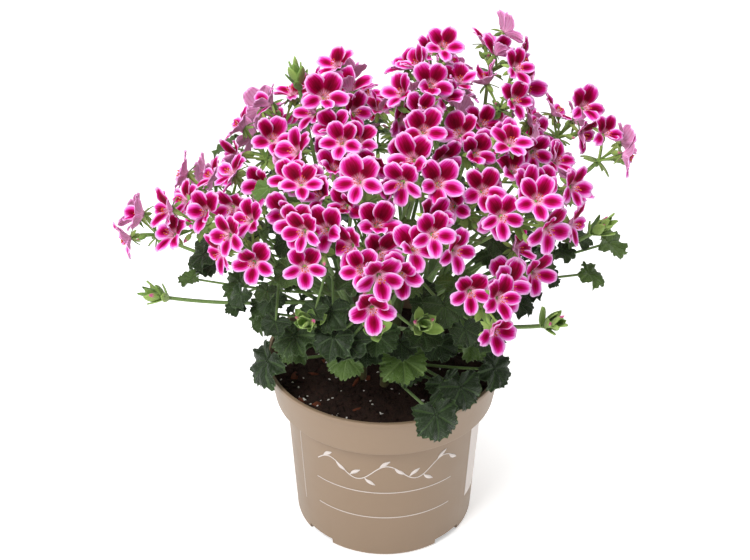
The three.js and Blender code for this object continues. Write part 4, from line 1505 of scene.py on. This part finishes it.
def ribbon(skin, s, height, width):
    """A thin band of print along a line given by way round the pot and height."""
    s = np.asarray(s, float)
    height = np.asarray(height, float)
    width = np.broadcast_to(np.asarray(width, float), s.shape)
    ds, dh = np.gradient(s), np.gradient(height)
    length = np.hypot(ds, dh)
    sides = np.array([-0.5, 0.5])
    grid_s = s[:, None] - (dh / length * width)[:, None] * sides
    grid_h = height[:, None] + (ds / length * width)[:, None] * sides
    thin_sheet(skin, on_pot(grid_s, grid_h)[:, ::-1], PRINT_THICKNESS)


def vine(skin, low, high, left, right):
    """A wavy line with small leaves to either side."""

    def wave(s):
        turns = (s - left) / (right - left) * TURN
        return (low + high) / 2 + (high - low) * 0.2 * np.sin(turns * VINE_WAVES)

    s = np.linspace(left, right, 120)
    ribbon(skin, s, wave(s), 0.8)
    t = np.linspace(0, 1, 14)
    for k in range(VINE_LEAVES):
        at = left + (right - left) * (k + 0.5) / VINE_LEAVES
        way = 1 if k % 2 == 0 else -1
        height = wave(at) + way * (6.5 * t ** 0.7)
        ribbon(skin, at + 7.5 * t, height, 0.35 + 2.6 * np.sin(np.pi * t) ** 1.2)


def print_on_pot():
    skin = Skin()
    line = np.linspace(-PRINT_LINE_REACH, PRINT_LINE_REACH, 90)
    for height in PRINT_LINES:
        ribbon(skin, line, np.full_like(line, height), 0.7)
    vine(skin, *VINE_HEIGHTS, *VINE_PLACES)
    upright = np.linspace(*UPRIGHT_HEIGHTS, 30)
    ribbon(skin, np.full_like(upright, UPRIGHT_PLACE), upright, 0.6)
    skin.piece("pot_print", pale_print, "pot_plastic")
    panel = Skin()
    s, height = np.meshgrid(np.linspace(*PANEL_PLACES, 24), np.linspace(*PANEL_HEIGHTS, 30))
    thin_sheet(panel, on_pot(s, height), PRINT_THICKNESS)
    panel.piece("pot_side_panel", pale_print, "pot_plastic")


print_on_pot()


# Soil
def lumps(x, y):
    """The unevenness of the soil, from slow waves to crumbs."""
    total = 1.2 * np.sin(x / 7) * np.cos(y / 6) + 0.8 * np.sin((x + y) / 4)
    total = total + 0.6 * np.sin(x / 2.1 + 1.3) * np.sin(y / 1.9 + 0.4)
    total = total + 0.4 * np.sin((x - y) / 1.3) * np.cos((x + 2 * y) / 1.7)
    return total


edge = inner_radius(SOIL_TOP) - SOIL_CLEARANCE


def soil_dome(reach):
    return SOIL_DOME * np.clip(1.35 * (1 - (reach / edge) ** 2), 0, 1)


def soil_bed():
    skin = Skin()
    angles = np.arange(SOIL_SIDES) / SOIL_SIDES * TURN
    reach = np.linspace(0.3, edge, SOIL_RINGS)[:, None]
    radii = np.broadcast_to(reach, (SOIL_RINGS, SOIL_SIDES))
    crumb = np.array([spread(k * 0.731, 0.35) for k in range(radii.size)]).reshape(radii.shape)
    rough = lumps(radii * np.cos(angles), radii * np.sin(angles)) + crumb
    top = SOIL_TOP + soil_dome(radii) + rough * np.clip((edge - radii) / SOIL_EDGE, 0, 1)
    foot = FLOOR + SOIL_CLEARANCE
    shelf = COLLAR_BOTTOM + 2
    low = np.array([
        (0.3, foot),
        (BASE_RADIUS - 8, foot),
        (inner_radius(9) - SOIL_CLEARANCE, 9),
        (inner_radius(COLLAR_BOTTOM - 1) - SOIL_CLEARANCE, shelf),
        (inner_radius(shelf) - SOIL_CLEARANCE, shelf + 0.6),
    ])
    low_radii, low_heights = [np.repeat(column[:, None], SOIL_SIDES, axis=1) for column in low.T]
    all_radii = np.vstack([low_radii, radii[::-1]])
    turned_body(skin, all_radii, np.vstack([low_heights, top[::-1]]), SOIL_SIDES)
    skin.piece("soil_bed", damp_peat, "soil", "soil")


soil_bed()


def crumb_shape(skin, place, size, seed):
    """A rough crumb with eighteen corners, squashed and turned at random."""
    points = [axis * way for axis in np.eye(3) for way in (1.0, -1.0)]
    faces = [(0, 2, 4), (2, 1, 4), (1, 3, 4), (3, 0, 4)]
    faces += [(2, 0, 5), (1, 2, 5), (3, 1, 5), (0, 3, 5)]
    middles = {}
    split = []

    def middle(a, b):
        key = (min(a, b), max(a, b))
        if key not in middles:
            points.append(unit(points[a] + points[b]))
            middles[key] = len(points) - 1
        return middles[key]

    for a, b, c in faces:
        ab, bc, ca = middle(a, b), middle(b, c), middle(c, a)
        split += [(a, ab, ca), (ab, b, bc), (ca, bc, c), (ab, bc, ca)]
    shape = np.array(points)
    shape = shape * np.array([[1 + spread(seed + k * 0.37, 0.28)] for k in range(len(shape))])
    skin.add(place + turned_about(shape * size, draw(seed) * TURN), [split])


def soil_height(x, y):
    reach = math.hypot(x, y)
    return SOIL_TOP + soil_dome(reach) + float(lumps(x, y)) * min((edge - reach) / SOIL_EDGE, 1)


def scatter(name, count, first, sizes, shape, material):
    """Bits of one kind over the soil, each with its own size, place and turn."""
    skin = Skin()
    for k in range(count):
        seed = first + k * 0.917
        reach = (edge - BITS_FROM_EDGE) * math.sqrt(draw(seed))
        angle = draw(seed + 0.31) * TURN
        x, y = reach * math.cos(angle), reach * math.sin(angle)
        shares = np.array([draw(seed + 0.5 + axis * 0.2) ** 2 for axis in range(3)])
        size = (sizes[0] + (sizes[1] - sizes[0]) * shares) * shape
        crumb_shape(skin, np.array([x, y, soil_height(x, y) + size[2] * 0.25]), size, seed)
    skin.piece(name, material, "soil")


scatter("soil_crumbs", 620, 100, (0.8, 3.0), (1, 1, 0.7), damp_peat)
scatter("perlite_bits", 140, 300, (0.5, 1.5), (1, 1, 0.7), perlite_white)
scatter("bark_bits", 18, 500, (1.4, 3.6), (1.9, 0.9, 0.6), bark_brown)


# Floor, light and camera
def floor_finish():
    make = Finish("pale_floor", 0.7, 0.2)
    white = make.toned(tint(250, 250, 250), 4.0, 0.01)
    make.colour(white)
    make.feed(make.shader.inputs["Emission Color"], white)
    make.shader.inputs["Emission Strength"].default_value = 0.4
    return make.material


def make_floor():
    mesh = bpy.data.meshes.new("studio_floor")
    signs = ((-1, -1), (1, -1), (1, 1), (-1, 1))
    corners = [(x * FLOOR_HALF, y * FLOOR_HALF, 0) for x, y in signs]
    mesh.from_pydata(corners, [], [(0, 1, 2, 3)])
    mesh.materials.append(floor_finish())
    floor = placed("studio_floor", mesh)
    floor.location.z = -FLOOR_DROP


def make_world():
    world = bpy.data.worlds.new("studio")
    world.use_nodes = True
    sky = world.node_tree.nodes["Background"].inputs
    sky["Color"].default_value = (1.0, 1.0, 1.0, 1)
    sky["Strength"].default_value = 0.4
    bpy.context.scene.world = world


def soft_light(name, place, aim, size, power):
    light = bpy.data.lights.new(name, "AREA")
    light.shape = "SQUARE"
    light.size = size
    light.energy = power
    lamp = placed(name, light)
    lamp.location = place
    lamp.rotation_euler = (Vector(aim) - Vector(place)).to_track_quat("-Z", "Y").to_euler()


def make_camera():
    data = bpy.data.cameras.new("photo_view")
    data.lens = CAMERA_LENS
    data.sensor_width = SENSOR_WIDTH
    data.clip_end = 20
    camera = placed("photo_view", data)
    camera.location = CAMERA_PLACE
    level = math.cos(CAMERA_PITCH)
    ahead = Vector((math.sin(CAMERA_YAW) * level, math.cos(CAMERA_YAW) * level,
                    -math.sin(CAMERA_PITCH)))
    camera.rotation_euler = ahead.to_track_quat("-Z", "Y").to_euler()
    bpy.context.scene.camera = camera
    bpy.context.scene.view_settings.view_transform = "Standard"


make_floor()
make_world()
soft_light("key_light", (-0.8, -1.0, 1.5), (0, 0, 0.2), 0.8, 26)
soft_light("top_light", (0.3, 0.2, 1.9), (0, 0, 0.2), 1.2, 22)
make_camera()
